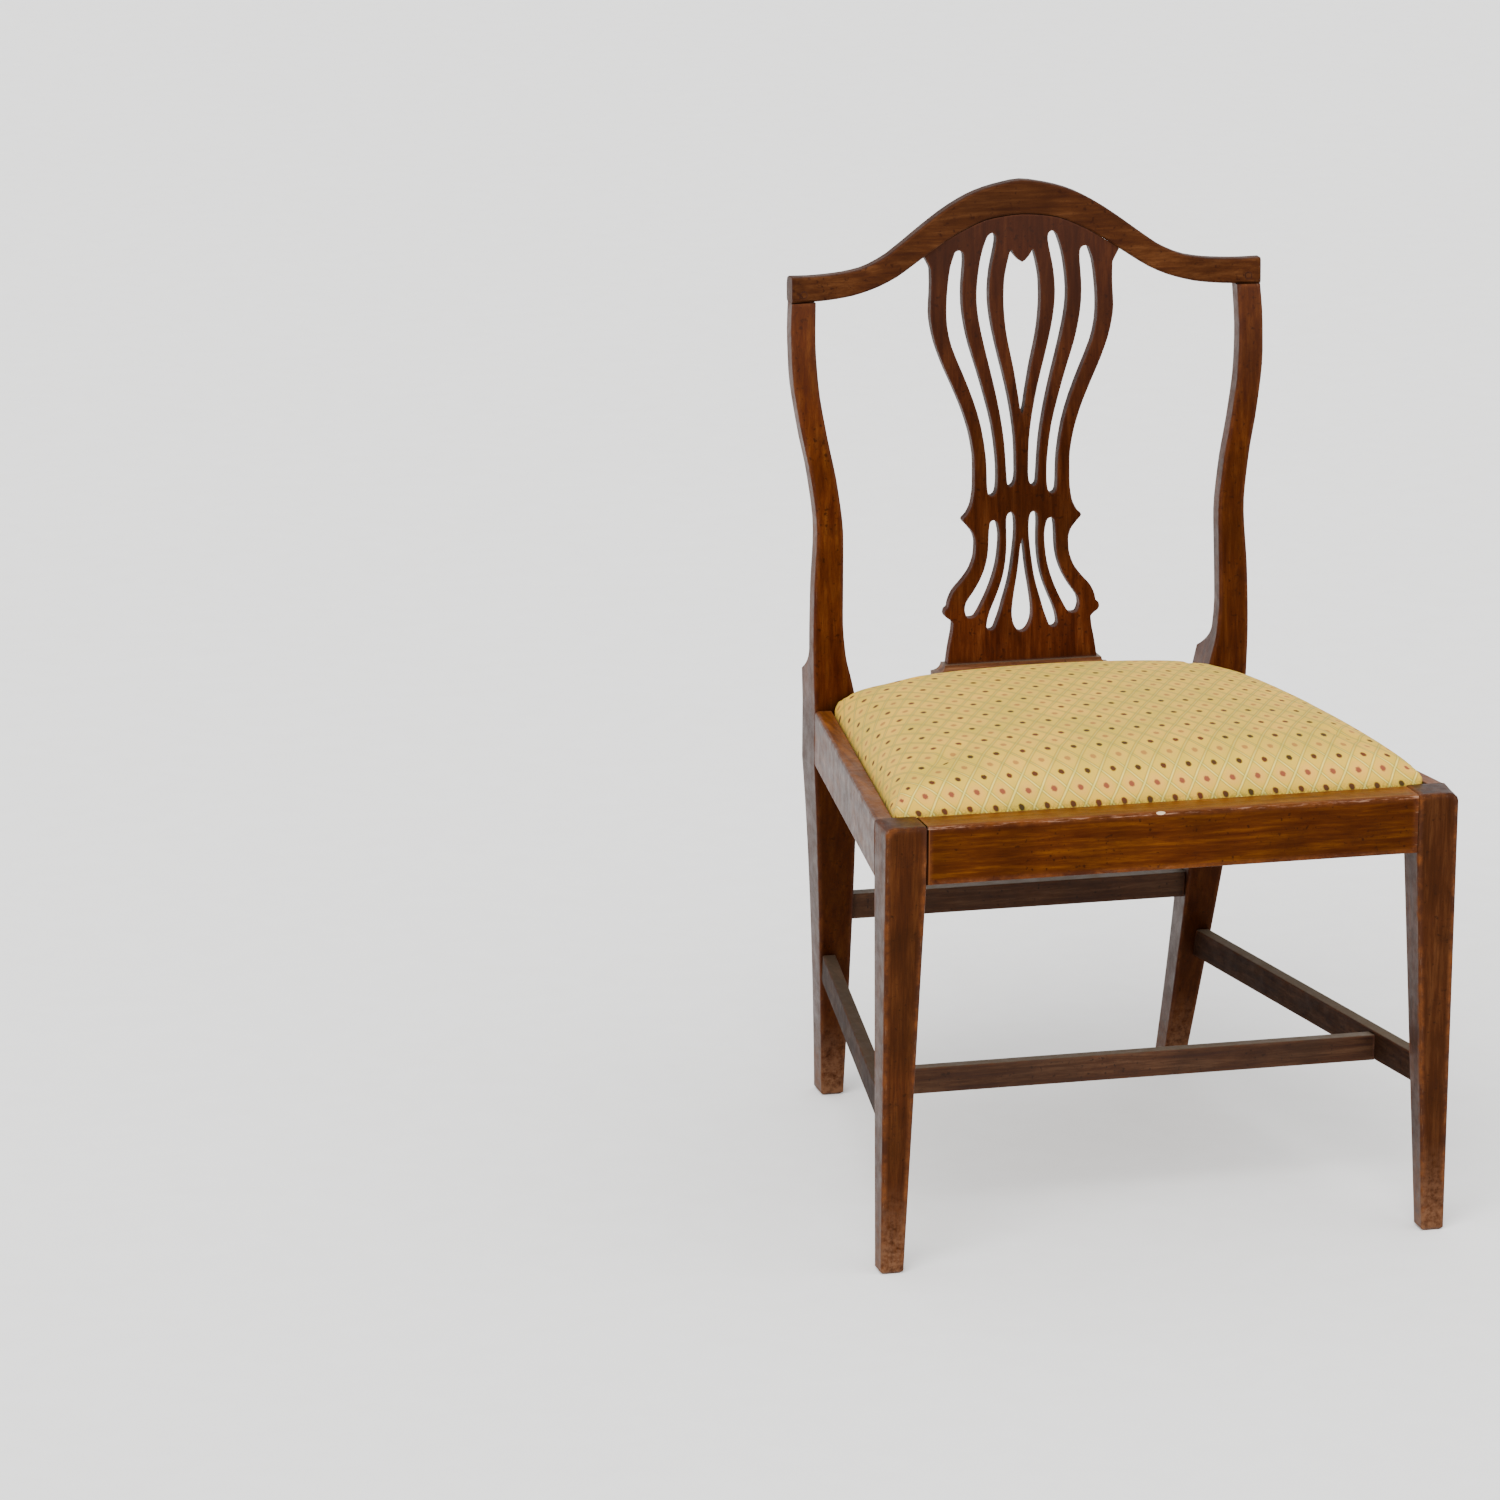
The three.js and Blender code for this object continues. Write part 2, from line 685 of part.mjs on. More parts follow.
function backRail() {
  const end = seatBackInset - gap;
  const section = rectangle(
    backRailFront, backRailBack, railUnderside, seatHeight, railInnerRound, railInnerRound
  );
  const strip = loft([-end, end].map((x) => section.map(([y, z]) => [x, y, z])));
  const ledge = box(-end, end, seatDepth - ledgeWidth, backRailBack - railInnerRound, railUnderside, ledgeTop);
  return settle(surface(join(strip, ledge, box(...backRailTenon), box(...otherSide(backRailTenon)))));
}

function sideStretcher() {
  const section = rectangle(
    stretcherTop - stretcherHeight, stretcherTop, -stretcherThickness, 0, stretcherRound, stretcherRound
  );
  const front = section.map(([z, x]) => {
    const y = legSize(z) + gap;
    return [stretcherEdge(y) + x, y, z];
  });
  const back = section.map(([z, x]) => {
    const y = postFront(z - stretcherFallShare * stretcherEnd) - gap;
    return [stretcherEdge(y) + x, y, z];
  });
  const whole = join(loft([front, back]), box(...stretcherFrontTenon), box(...stretcherBackTenon));
  return settle(surface(cut(whole, [grown(medialTenon)])), stretcherFallShare);
}

function medialStretcher() {
  const section = rectangle(
    medialSetback, medialSetback + stretcherThickness, medialTop - medialHeight, medialTop,
    stretcherRound, stretcherRound
  );
  const bar = loft([-1, 1].map((side) => section.map(([y, z]) => {
    return [side * (stretcherEdge(y) - stretcherThickness - gap), y, z];
  })));
  return settle(surface(join(bar, box(...medialTenon), box(...otherSide(medialTenon)))), stretcherFallShare);
}

function rearStretcher() {
  const section = rectangle(
    rearStretcherFront, rearStretcherFront + rearStretcherThickness,
    rearStretcherTop - rearStretcherHeight, rearStretcherTop, stretcherRound, stretcherRound
  );
  const bar = loft([-1, 1].map((side) => section.map(([y, z]) => {
    return [side * (postInner(z - stretcherFallShare * y) - gap), y, z];
  })));
  const tenons = join(box(...rearStretcherTenon), box(...otherSide(rearStretcherTenon)));
  return settle(surface(solid(bar).add(tenons)), stretcherFallShare);
}

// A three-cornered block glued where a side rail meets the front or the back rail
function cornerBlock(cornerY, reach) {
  const inside = (y) => seatEdge(y) - railStripSide - ledgeWidth - gap;
  const outline = [
    [inside(cornerY), cornerY], [inside(cornerY) - blockLeg, cornerY], [inside(cornerY + reach), cornerY + reach]
  ];
  const base = railUnderside + blockLift;
  return settle(surface(solid(prism(outline, base, base + blockHeight))));
}

const crestTopCurve = arched(crestTopShares);
const crestBottomCurve = arched(crestBottomShares);

function crestTop(x) {
  return crestEndHeight + (crestTopHeight - crestEndHeight) * crestTopCurve(Math.abs(x) / crestHalfWidth);
}

function crestUnderside(x) {
  return crestJointHeight + (crestArchHeight - crestJointHeight) * crestBottomCurve(Math.abs(x) / crestHalfWidth);
}

// The crest rail, or the space over a cut that follows its underside
function crestBody(section) {
  const stations = steps(-crestHalfWidth, crestHalfWidth, crestStations);
  return loft(stations.map((x) => section(x).map(([y, z]) => [x, crestFront(x, z) + y, z])));
}

// Turns a flat upright piece of the splat to the splat's lean
function lean(geometry) {
  const place = geometry.attributes.position;
  for (let i = 0; i < place.count; i += 1) {
    place.setY(i, place.getY(i) + splatPlane(place.getZ(i)));
  }
  return geometry;
}

const topTongue = [
  -splatTongueHalfWidth, splatTongueHalfWidth, splatTongueInset, splatThickness - splatTongueInset,
  crestArchHeight - splatTongueHeight, crestArchHeight + splatTongueHeight
];
const footTongueHalfWidth = splatFootHalfWidth - splatFootTongueInset;
const footTongue = [
  -footTongueHalfWidth, footTongueHalfWidth, splatTongueInset, splatThickness - splatTongueInset,
  splatFootHeight - splatFootTongueDepth, splatFootHeight + overrun
];

function crestRail() {
  const blank = crestBody((x) => {
    const level = [crestUnderside(x), crestTop(x)];
    return rectangle(0, crestThickness, ...level, crestRound, crestRound, crestBackRound);
  });
  const tools = [
    grown(crestTenon), grown(otherSide(crestTenon)), lean(grown(topTongue)),
    pegHole(), mirrored(pegHole().toNonIndexed())
  ];
  return surface(cut(solid(blank), tools));
}

// One more row between the end row of a slot and its tip, which makes the tip round
function tipRow([height, inner, outer], [tipHeight, tipAcross]) {
  const middle = THREE.MathUtils.lerp((inner + outer) / 2, tipAcross, slotTipShare);
  const half = slotTipWidthShare * (outer - inner) / 2;
  return [THREE.MathUtils.lerp(height, tipHeight, slotTipShare), middle - half, middle + half];
}

function slotRows({ foot, rows, top }) {
  return [tipRow(rows[0], foot), ...rows, tipRow(rows[rows.length - 1], top)];
}

// A closed smooth curve through the rows of an opening; rows with one width are the same on both sides
function openingCurve(shares, side) {
  const at = (height, across) => new THREE.Vector3(side * across * splatHalfWidth, height * splatHeight, 0);
  const rows = shares.rows[0].length > 2 ? slotRows(shares) : shares.rows;
  const outer = rows.map((row) => at(row[0], row[row.length - 1]));
  const inner = rows.map((row) => at(row[0], row.length > 2 ? row[1] : -row[1])).reverse();
  const ring = [at(...shares.foot), ...outer, at(...shares.top), ...inner];
  const curve = new THREE.CatmullRomCurve3(ring, true, 'centripetal');
  return new THREE.Path(curve.getPoints(ring.length * openingSteps).slice(1));
}

function splatOutline() {
  const edge = through(splatEdgeShares);
  const right = splatEdgeShares.slice(1).flatMap(([height], i) => {
    return steps(splatEdgeShares[i][0], height, edgeSteps).slice(1);
  }).map((height) => [edge(height) * splatHalfWidth, height * splatHeight]);
  const shoulder = splatShoulderShare * splatHalfWidth;
  const top = steps(shoulder, 0, shoulderSteps).map((x) => {
    return [x, crestUnderside(x) + overrun - splatFootHeight];
  });
  const foot = [splatFootHalfWidth, 0];
  const half = [foot, ...right, ...top];
  const left = half.slice(0, -1).reverse().map(([x, y]) => [-x, y]);
  return [...half, ...left].map(([x, y]) => new THREE.Vector2(x, y));
}

function splat() {
  const shape = new THREE.Shape(splatOutline());
  const slots = [upperOuterSlotShares, upperInnerSlotShares, lowerOuterSlotShares, lowerInnerSlotShares];
  shape.holes = [
    ...slots.flatMap((shares) => [openingCurve(shares, 1), openingCurve(shares, -1)]),
    openingCurve(heartOpeningShares, 1), openingCurve(teardropShares, 1)
  ];
  const board = new THREE.ExtrudeGeometry(shape, { depth: splatThickness, bevelEnabled: false });
  board.rotateX(Math.PI / 2).translate(0, splatThickness, splatFootHeight);
  const crestSpace = crestBody((x) => sharpRectangle(
    -overrun, crestThickness + overrun, crestUnderside(x) - gap, crestTop(x) + overrun
  ));
  const trimmed = cut(solid(lean(board)), [crestSpace]);
  const tongues = join(lean(box(...topTongue)), lean(box(...footTongue)));
  return surface(trimmed.add(tongues));
}

// The shoe that holds the foot of the splat, with a cove round its top on three sides
function shoe() {
  const top = splatFootHeight - gap;
  const ring = (angle, height) => {
    const reach = shoeBaseReach - (shoeBaseReach - shoeTopReach) * Math.sin(angle);
    const margin = shoeBaseMargin - (shoeBaseMargin - shoeTopMargin) * Math.sin(angle);
    const half = splatFootHalfWidth + reach;
    const flat = sharpRectangle(-half, half, splatFootSetback - margin, backRailBack);
    return flat.map(([x, y]) => [x, y, height(y)]);
  };
  const foot = ring(0, (y) => seatHeight - seatFallShare * y + gap);
  const cove = steps(0, Math.PI / 2, shoeCoveSteps).map((angle) => {
    return ring(angle, () => top - shoeCoveHeight * Math.cos(angle));
  });
  return surface(cut(solid(loft([foot, ...cove])), [lean(grown(footTongue))]));
}

// The drop-in seat, from its underside up
const seatFront = railStripFront + seatClearance;
const seatBack = seatDepth - seatClearance;
const seatMiddle = (seatFront + seatBack) / 2;
const coverBase = ledgeTop + gap;
const frameBase = coverBase + coverThickness + gap;
const frameTop = frameBase + seatFrameHeight;
const frameInset = coverThickness + gap;
const webLevel = frameTop + gap + webThickness / 2;
const hessianBase = webLevel + webWeave + webThickness / 2 + gap;
const stuffingBase = hessianBase + hessianThickness + gap;
const frontFrameBack = seatFront + frameInset + seatFrameFrontWidth;
const backFrameFront = seatBack - frameInset - seatFrameSideWidth;

function seatHalf(y, inset) {
  return seatEdge(y) - railStripSide - seatClearance - inset;
}

// The seat's outline in plan, drawn in by an inset, with points spread along its four sides
function seatOutline(inset) {
  const half = seatHalf(seatFront, inset);
  const radius = Math.max(cushionCornerRadius - inset, cushionHemRound);
  const corners = rectangle(-half, half, seatFront + inset, seatBack - inset, radius, radius);
  return corners.flatMap((point, i) => {
    const next = corners[(i + 1) % corners.length];
    const count = i % (cornerSteps + 1) === cornerSteps ? cushionSidePoints : 1;
    return steps(0, 1, count).slice(0, -1).map((share) => {
      return [point[0] + (next[0] - point[0]) * share, point[1] + (next[1] - point[1]) * share];
    });
  }).map(([x, y]) => [x * seatHalf(y, inset) / half, y]);
}

// Height of the cushion over a point in plan: a steep rim that sinks at the corners, under a broad crown
function cushionHeight(x, y) {
  const half = seatHalf(y, 0);
  const inX = Math.max(half - Math.abs(x), 0);
  const inY = Math.max(Math.min(y - seatFront, seatBack - y), 0);
  const inside = inX * inY / Math.max(Math.hypot(inX, inY), gap);
  const rim = cushionEdgeHeight * (1 - Math.exp(-inside / cushionEdgeSoftness));
  const across = Math.max(1 - (x / half) ** 2, 0);
  const along = Math.max(1 - ((y - seatMiddle) / (seatMiddle - seatFront)) ** 2, 0);
  return seatHeight + rim + cushionCrownHeight * Math.sqrt(across * along);
}

// The top of the cushion at a depth below the outside of its cover
function cushionTop(depth, firstRim) {
  const rim = rimShares.slice(firstRim).map((share) => {
    const inset = share * cushionRimWidth;
    const slope = Math.atan(cushionEdgeHeight / cushionEdgeSoftness * Math.exp(-inset / cushionEdgeSoftness));
    const inner = seatOutline(inset + depth * Math.sin(slope));
    return seatOutline(inset).map(([x, y], i) => {
      return [...inner[i], cushionHeight(x, y) - depth * Math.cos(slope)];
    });
  });
  const crown = crownShares.map((share) => seatOutline(cushionRimWidth).map(([x0, y0]) => {
    const x = x0 * share;
    const y = seatMiddle + (y0 - seatMiddle) * share;
    return [x, y, cushionHeight(x, y) - depth];
  }));
  return [...rim, ...crown];
}

function seatCover(holes) {
  const ring = ([inset, z]) => seatOutline(inset).map(([x, y]) => [x, y, z]);
  const flap = [
    [coverThickness, coverBase + coverThickness], [flapWidth, coverBase + coverThickness],
    [flapWidth, coverBase], [cushionHemRound, coverBase], [0, coverBase + cushionHemRound]
  ];
  const rings = [...cushionTop(coverThickness, 0).reverse(), ...flap.map(ring), ...cushionTop(0, 0)];
  return settle(surface(cut(solid(loft(rings)), holes)));
}

function seatStuffing() {
  const depth = coverThickness + gap;
  const top = cushionTop(depth, 2);
  const base = top[0].map(([x, y]) => [x, y, stuffingBase]);
  return settle(surface(solid(loft([base, ...top]))));
}

function seatHessian() {
  const outline = seatOutline(frameInset + hessianInset);
  return settle(surface(solid(prism(outline, hessianBase, hessianBase + hessianThickness))));
}

// The part of the seat frame's outline between two distances from the front
function frameSlab(front, back) {
  const slab = solid(prism(seatOutline(frameInset), frameBase, frameTop));
  return slab.intersect(solid(box(-halfWidth, halfWidth, front, back, frameBase - overrun, frameTop + overrun)));
}

const seatTenonBase = (frameBase + frameTop - seatTenonThickness) / 2;

function seatTenon(y0, y1, root) {
  const outer = seatHalf(root, frameInset) - seatTenonShoulder;
  const inner = seatHalf(root, frameInset) - seatFrameSideWidth + seatTenonShoulder;
  return [inner, outer, y0, y1, seatTenonBase, seatTenonBase + seatTenonThickness];
}

const seatFrontTenon = seatTenon(frontFrameBack - seatTenonLength, frontFrameBack + overrun, frontFrameBack);
const seatBackTenon = seatTenon(backFrameFront - overrun, backFrameFront + seatTenonLength, backFrameFront);

function frameEndRail(slab, tenon, holes) {
  return settle(surface(cut(slab, [grown(tenon), grown(otherSide(tenon)), ...holes])));
}

function frameSideRail(holes) {
  const front = frontFrameBack + gap;
  const back = backFrameFront - gap;
  const inside = (y) => seatHalf(y, frameInset) - seatFrameSideWidth;
  const opening = prism(
    [[-halfWidth, front - overrun], [inside(front - overrun), front - overrun],
      [inside(back + overrun), back + overrun], [-halfWidth, back + overrun]],
    frameBase - overrun, frameTop + overrun
  );
  const rail = cut(frameSlab(front, back), [opening]);
  return settle(surface(cut(rail.add(join(box(...seatFrontTenon), box(...seatBackTenon))), holes)));
}

// Places of the webbing: the strips fill the opening of the frame at its narrow back
const webOpening = seatHalf(backFrameFront, frameInset) - seatFrameSideWidth;
const webPitchAcross = (webOpening - webEase) / ((websAcross - 1 + webWidthShare) / 2);
const webPitchDeep = webPitchDeepShare * (backFrameFront - frontFrameBack);
const webWidth = webWidthShare * webPitchAcross;

// One strip of webbing: level on the frame at both ends, and over or under each strip that it crosses
function webStrip([from, fromEdge, toEdge, to], crossings, firstSide, place) {
  const edges = crossings.flatMap((at, i) => {
    const level = webLevel + webWeave * (i % 2 ? -firstSide : firstSide);
    const reach = webWidth / 2 + webEase;
    return [[at - reach, level], [at + reach, level]];
  });
  const rests = [from, fromEdge, toEdge, to].map((at) => [at, webLevel]);
  const rings = [...rests.slice(0, 2), ...edges, ...rests.slice(2)];
  return loft(rings.map(([along, z]) => place(along, z - webThickness / 2, z + webThickness / 2)));
}

function spread(count, pitch, middle) {
  return steps(0, 1, count - 1).map((share) => middle + (share - 0.5) * pitch * (count - 1));
}

const webColumns = spread(websAcross, webPitchAcross, 0);
const webRows = spread(websDeep, webPitchDeep, (frontFrameBack + backFrameFront) / 2);
const webFront = seatFront + frameInset + webEndInset;
const webBack = seatBack - frameInset - webEndInset;
const webLengths = [webFront, frontFrameBack, backFrameFront, webBack];

function addWebbing() {
  webColumns.forEach((x, i) => {
    const strip = webStrip(webLengths, webRows, i % 2 ? -1 : 1, (y, z0, z1) => {
      return sharpRectangle(z0, z1, x - webWidth / 2, x + webWidth / 2).map(([z, across]) => [across, y, z]);
    });
    add(`webbing_front_to_back_${i + 1}`, settle(surface(solid(strip))), linen);
  });
  webRows.forEach((y, j) => {
    const half = seatHalf(y + webWidth / 2, frameInset);
    const reach = half - webEndInset;
    const edge = half - seatFrameSideWidth;
    const strip = webStrip([-reach, -edge, edge, reach], webColumns, j % 2 ? 1 : -1, (x, z0, z1) => {
      return sharpRectangle(y - webWidth / 2, y + webWidth / 2, z0, z1).map(([along, z]) => [x, along, z]);
    });
    add(`webbing_side_to_side_${j + 1}`, settle(surface(solid(strip))), linen);
  });
}

// Places of the tacks that hold the cover's flap to the underside of the frame
function tackPlaces() {
  const shares = steps(tackEndShare, 1 - tackEndShare, tacksPerSide - 1);
  const front = seatFront + tackSetback;
  const back = seatBack - tackSetback;
  return shares.flatMap((share) => {
    const y = front + (back - front) * share;
    const across = 2 * share - 1;
    return [
      [across * seatHalf(front, tackSetback), front], [across * seatHalf(back, tackSetback), back],
      [seatHalf(y, tackSetback), y], [-seatHalf(y, tackSetback), y]
    ];
  });
}

function tack([x, y]) {
  const headTop = coverBase - gap;
  const ring = (radius, z) => steps(0, 2 * Math.PI, tackSides).slice(0, -1).map((angle) => {
    return [x + radius * Math.cos(angle), y + radius * Math.sin(angle), z];
  });
  return loft([
    ring(tackHeadRadius, headTop - tackHeadHeight), ring(tackHeadRadius, headTop),
    ring(tackShankRadius, headTop), ring(tackTipRadius, headTop + tackLength)
  ]);
}

function tackHole([x, y]) {
  return grown([
    x - tackShankRadius, x + tackShankRadius, y - tackShankRadius, y + tackShankRadius,
    coverBase - overrun, coverBase + tackLength
  ]);
}

function addFrame() {
  addPair('front_leg', frontLeg(), mahogany);
  addPair('back_post', backPost(), mahogany);
  add('front_seat_rail', frontRail(), mahogany);
  addPair('side_seat_rail', sideRail(), mahogany);
  add('back_seat_rail', backRail(), mahogany);
  addPair('side_stretcher', sideStretcher(), mahogany);
  add('medial_stretcher', medialStretcher(), mahogany);
  add('rear_stretcher', rearStretcher(), mahogany);
  addPair('front_corner_block', cornerBlock(railStripFront + ledgeWidth + gap, blockLeg), beech);
  addPair('back_corner_block', cornerBlock(seatDepth - ledgeWidth - gap, -blockLeg), beech);
  add('crest_rail', crestRail(), mahogany);
  add('splat', splat(), mahogany);
  add('splat_shoe', shoe(), mahogany);
  const pegBack = pegFront + crestThickness - pegEndWall;
  addPair('crest_peg', surface(solid(peg(pegRadius, pegFront - pegProud, pegBack))), mahogany);
}

function addSeat() {
  const places = tackPlaces();
  const holes = places.map(tackHole);
  add('seat_frame_front', frameEndRail(frameSlab(0, frontFrameBack), seatFrontTenon, holes), beech);
  add('seat_frame_back', frameEndRail(frameSlab(backFrameFront, seatDepth), seatBackTenon, holes), beech);
  addPair('seat_frame_side', frameSideRail(holes), beech);
  addWebbing();
  add('seat_hessian', seatHessian(), linen);
  add('seat_stuffing', seatStuffing(), horsehair);
  add('seat_cover', seatCover(holes), damask);
  places.forEach((place, i) => {
    add(`seat_tack_${i + 1}`, settle(surface(solid(tack(place)))), iron);
  });
}

// Centres the chair over its origin, with its feet at height zero
function centre() {
  const bounds = new THREE.Box3().setFromObject(chair);
  const middle = bounds.getCenter(new THREE.Vector3());
  chair.position.set(-middle.x, -middle.y, -bounds.min.z);
}

addFrame();
addSeat();
centre();

export default chair;
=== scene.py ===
import math

import bmesh
import bpy
import numpy as np
from mathutils import Matrix, Vector


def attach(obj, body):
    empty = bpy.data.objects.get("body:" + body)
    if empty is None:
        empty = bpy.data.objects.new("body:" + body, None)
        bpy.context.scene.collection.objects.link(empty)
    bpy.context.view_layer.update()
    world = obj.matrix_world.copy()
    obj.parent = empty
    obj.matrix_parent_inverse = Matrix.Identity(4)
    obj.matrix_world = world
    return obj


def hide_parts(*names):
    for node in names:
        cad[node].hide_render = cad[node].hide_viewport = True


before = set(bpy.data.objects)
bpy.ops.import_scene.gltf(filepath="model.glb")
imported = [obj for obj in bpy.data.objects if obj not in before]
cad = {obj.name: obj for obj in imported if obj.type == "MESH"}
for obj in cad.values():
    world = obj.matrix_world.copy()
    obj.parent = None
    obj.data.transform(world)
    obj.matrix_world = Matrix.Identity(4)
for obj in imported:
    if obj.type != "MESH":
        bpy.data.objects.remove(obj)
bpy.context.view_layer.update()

MM = 0.001
Y_OF_FRONT = -0.27918  # the plane of the front legs' faces, in metres

# Millimetres, as the chair was measured: X across, Y back from the front faces, Z up
FRONT_HALF = 275
BACK_HALF = 220
LEG = 39
SEAT_DEPTH = 455
SEAT_TOP = 427
REBATE = 20
STRIP_FRONT = 38      # the rails' tops that show round the seat
STRIP_SIDE = 17
SEAT_CLEARANCE = 1.5
SEAT_FALL = 0.0209    # the seat falls this much for each unit to the back
RIM_HEIGHT = 25
RIM_SOFTNESS = 8
CROWN_HEIGHT = 30
CORNER_RADIUS = 9
CLOTH_THICKNESS = 1.2
FLAP = 24             # how far the cover is turned under the seat's frame
HEM_GAP = 0.3         # from the rebate up to the cover's underside
HEM_TURN = 2          # the turn under the frame is rounded over this much
KNOCKED = 9           # how far the outer top corners of the front legs are rounded off
KNOCK_STEPS = 6
SPLAT_GAP = 0.29      # the splat's clearance in the crest rail
SEAT_FRONT = STRIP_FRONT + SEAT_CLEARANCE
SEAT_BACK = SEAT_DEPTH - SEAT_CLEARANCE
SEAT_MIDDLE = (SEAT_FRONT + SEAT_BACK) / 2
HEM_LEVEL = SEAT_TOP - REBATE + HEM_GAP

# Under the cloth: the beech frame's inset, and the levels of the webbing, the hessian and the pad
FRAME_INSET = 1.9
WEB_LEVEL = 427.6
WEB_LIFT = 1.0
HESSIAN_LEVEL = 429.9
PAD_BASE = 430.6
PAD_DEPTH = 5.5
WEB_PITCH = 62.4
WEB_WIDTH = 50.3
WEB_THICKNESS = 1.1
WEB_END = 12            # from the frame's outer edge to the end of a strip
WEB_ROW_SHARE = 0.3024  # from one cross strip to the next, as a share of the frame's opening
WEB_EASE = 9            # a strip starts to rise or dip this far before the one that it crosses
WEB_RISE = 1.6          # and is level over the middle of it, after a slope this steep
SEAT_FRAME_FRONT = 58   # widths of the beech frame's front and back members
SEAT_FRAME_BACK = 48
HESSIAN_INSET = 9
HESSIAN_THICKNESS = 0.7

# Rings of points that shape the cushion and its pad: shares of the crown's outline, insets from the
# seat's edge over the rim, levels down the side, and insets of the flap turned under the frame
CROWN_INSET = 22
CROWN_SHARES = np.linspace(0.03, 1, 26)
RIM_INSETS = (18.5, 15.5, 13, 11, 9.2, 7.6, 6.2, 5, 4, 3.1, 2.3, 1.6, 1, 0.45, 0)
SIDE_LEVELS = (423, 418, 413, HEM_LEVEL + HEM_TURN)
HEM_INSETS = (0.6, HEM_TURN, 8, 14, 20, FLAP)
PAD_SHARES = np.linspace(0.1, 1, 12)
PAD_INSETS = (15, 10, 6.5, 4.2)
HESSIAN_SHARES = np.linspace(0.08, 1, 14)

# How the cover settles: the pressure of the stuffing, the most that a point may move, and the frames run
CLOTH_PRESSURE = 2.5
CLOTH_REACH = 3
SETTLING_FRAMES = 20

# The damask's repeat: from one dark spot to the next across the seat, and from a dark row to the next
REPEAT_ACROSS = 24.5
REPEAT_DEEP = 35.0
ROW_AT_FRONT = 15.5  # from one row of spots to the next at the front edge
ROW_GAIN = 0.21      # half of what each row is further from the last
FIRST_ROW = 2        # from the front edge to the first row of spots
OFF_MIDDLE = 2.8     # how far the pattern lies off the middle line
PULL_AT_FRONT = 15   # how far the cloth has been drawn sideways at the front edge
PULL_FADES = 48      # how soon that is lost behind it
PULL_STARTS = -10    # and where, round the front edge, it grows no more
MEASURE_STEP = 2.0   # the cloth's length over the cushion is measured in steps of this
MEASURE_HALF = 262
THREAD_DRAWN = 0.9   # warp and weft are really 0.3 mm apart, and are drawn this far apart to show

# The camera: its lens in the photograph's own pixels, and its place in metres
PHOTO_WIDTH = 1500
FOCAL_LENGTH = 6635.035
OPTICAL_CENTRE = (750.66, 859.435)
CAMERA_PLACE = (-1.84042, -5.8404, 2.05453)
CAMERA_RIGHT = (0.968511, -0.248904, 0.005816)
CAMERA_UP = (0.0632, 0.268377, 0.961239)
CAMERA_BACK = (-0.240817, -0.930602, 0.275657)
SENSOR_WIDTH = 36


def linear(colour):
    """An sRGB hex colour as a linear RGBA."""
    parts = [int(colour[i:i + 2], 16) / 255 for i in (1, 3, 5)]
    return [c / 12.92 if c <= 0.04045 else ((c + 0.055) / 1.055) ** 2.4 for c in parts] + [1.0]


def place(x, y, z):
    """A point of the chair in millimetres, as a point of the scene in metres."""
    return Vector((x * MM, y * MM + Y_OF_FRONT, z * MM))


def add(tree, kind, inputs, out=0, **settings):
    """Adds a shader node with its settings, gives each input a value or another node's output, and
    returns one of its own outputs."""
    node = tree.nodes.new("ShaderNode" + kind)
    for name, value in settings.items():
        setattr(node, name, value)
    for socket, value in inputs.items():
        if isinstance(value, bpy.types.NodeSocket):
            tree.links.new(value, node.inputs[socket])
        else:
            node.inputs[socket].default_value = value
    return node.outputs[out]


def start_material(name):
    """A material with an empty tree of nodes, and the object's own coordinates in metres."""
    material = bpy.data.materials.new(name)
    material.use_nodes = True
    tree = material.node_tree
    tree.nodes.clear()
    return material, tree, add(tree, "TexCoord", {}, out="Object")


def finish_material(material, tree, shader):
    """Ends the tree with the material's output."""
    output = tree.nodes.new("ShaderNodeOutputMaterial")
    tree.links.new(shader, output.inputs["Surface"])
    return material


# Turns that lay a member's grain along Z: for boards that stand, that run across, and that run to the
# back, straight or splayed as the seat's sides are
SPLAY = math.radians(7.6)
GRAIN = {
    "standing": (0, 0, 0),
    "across": (0, math.radians(90), 0),
    "deep": (math.radians(90), 0, 0),
    "deep_right": (math.radians(90), 0, SPLAY),
    "deep_left": (math.radians(90), 0, -SPLAY),
}


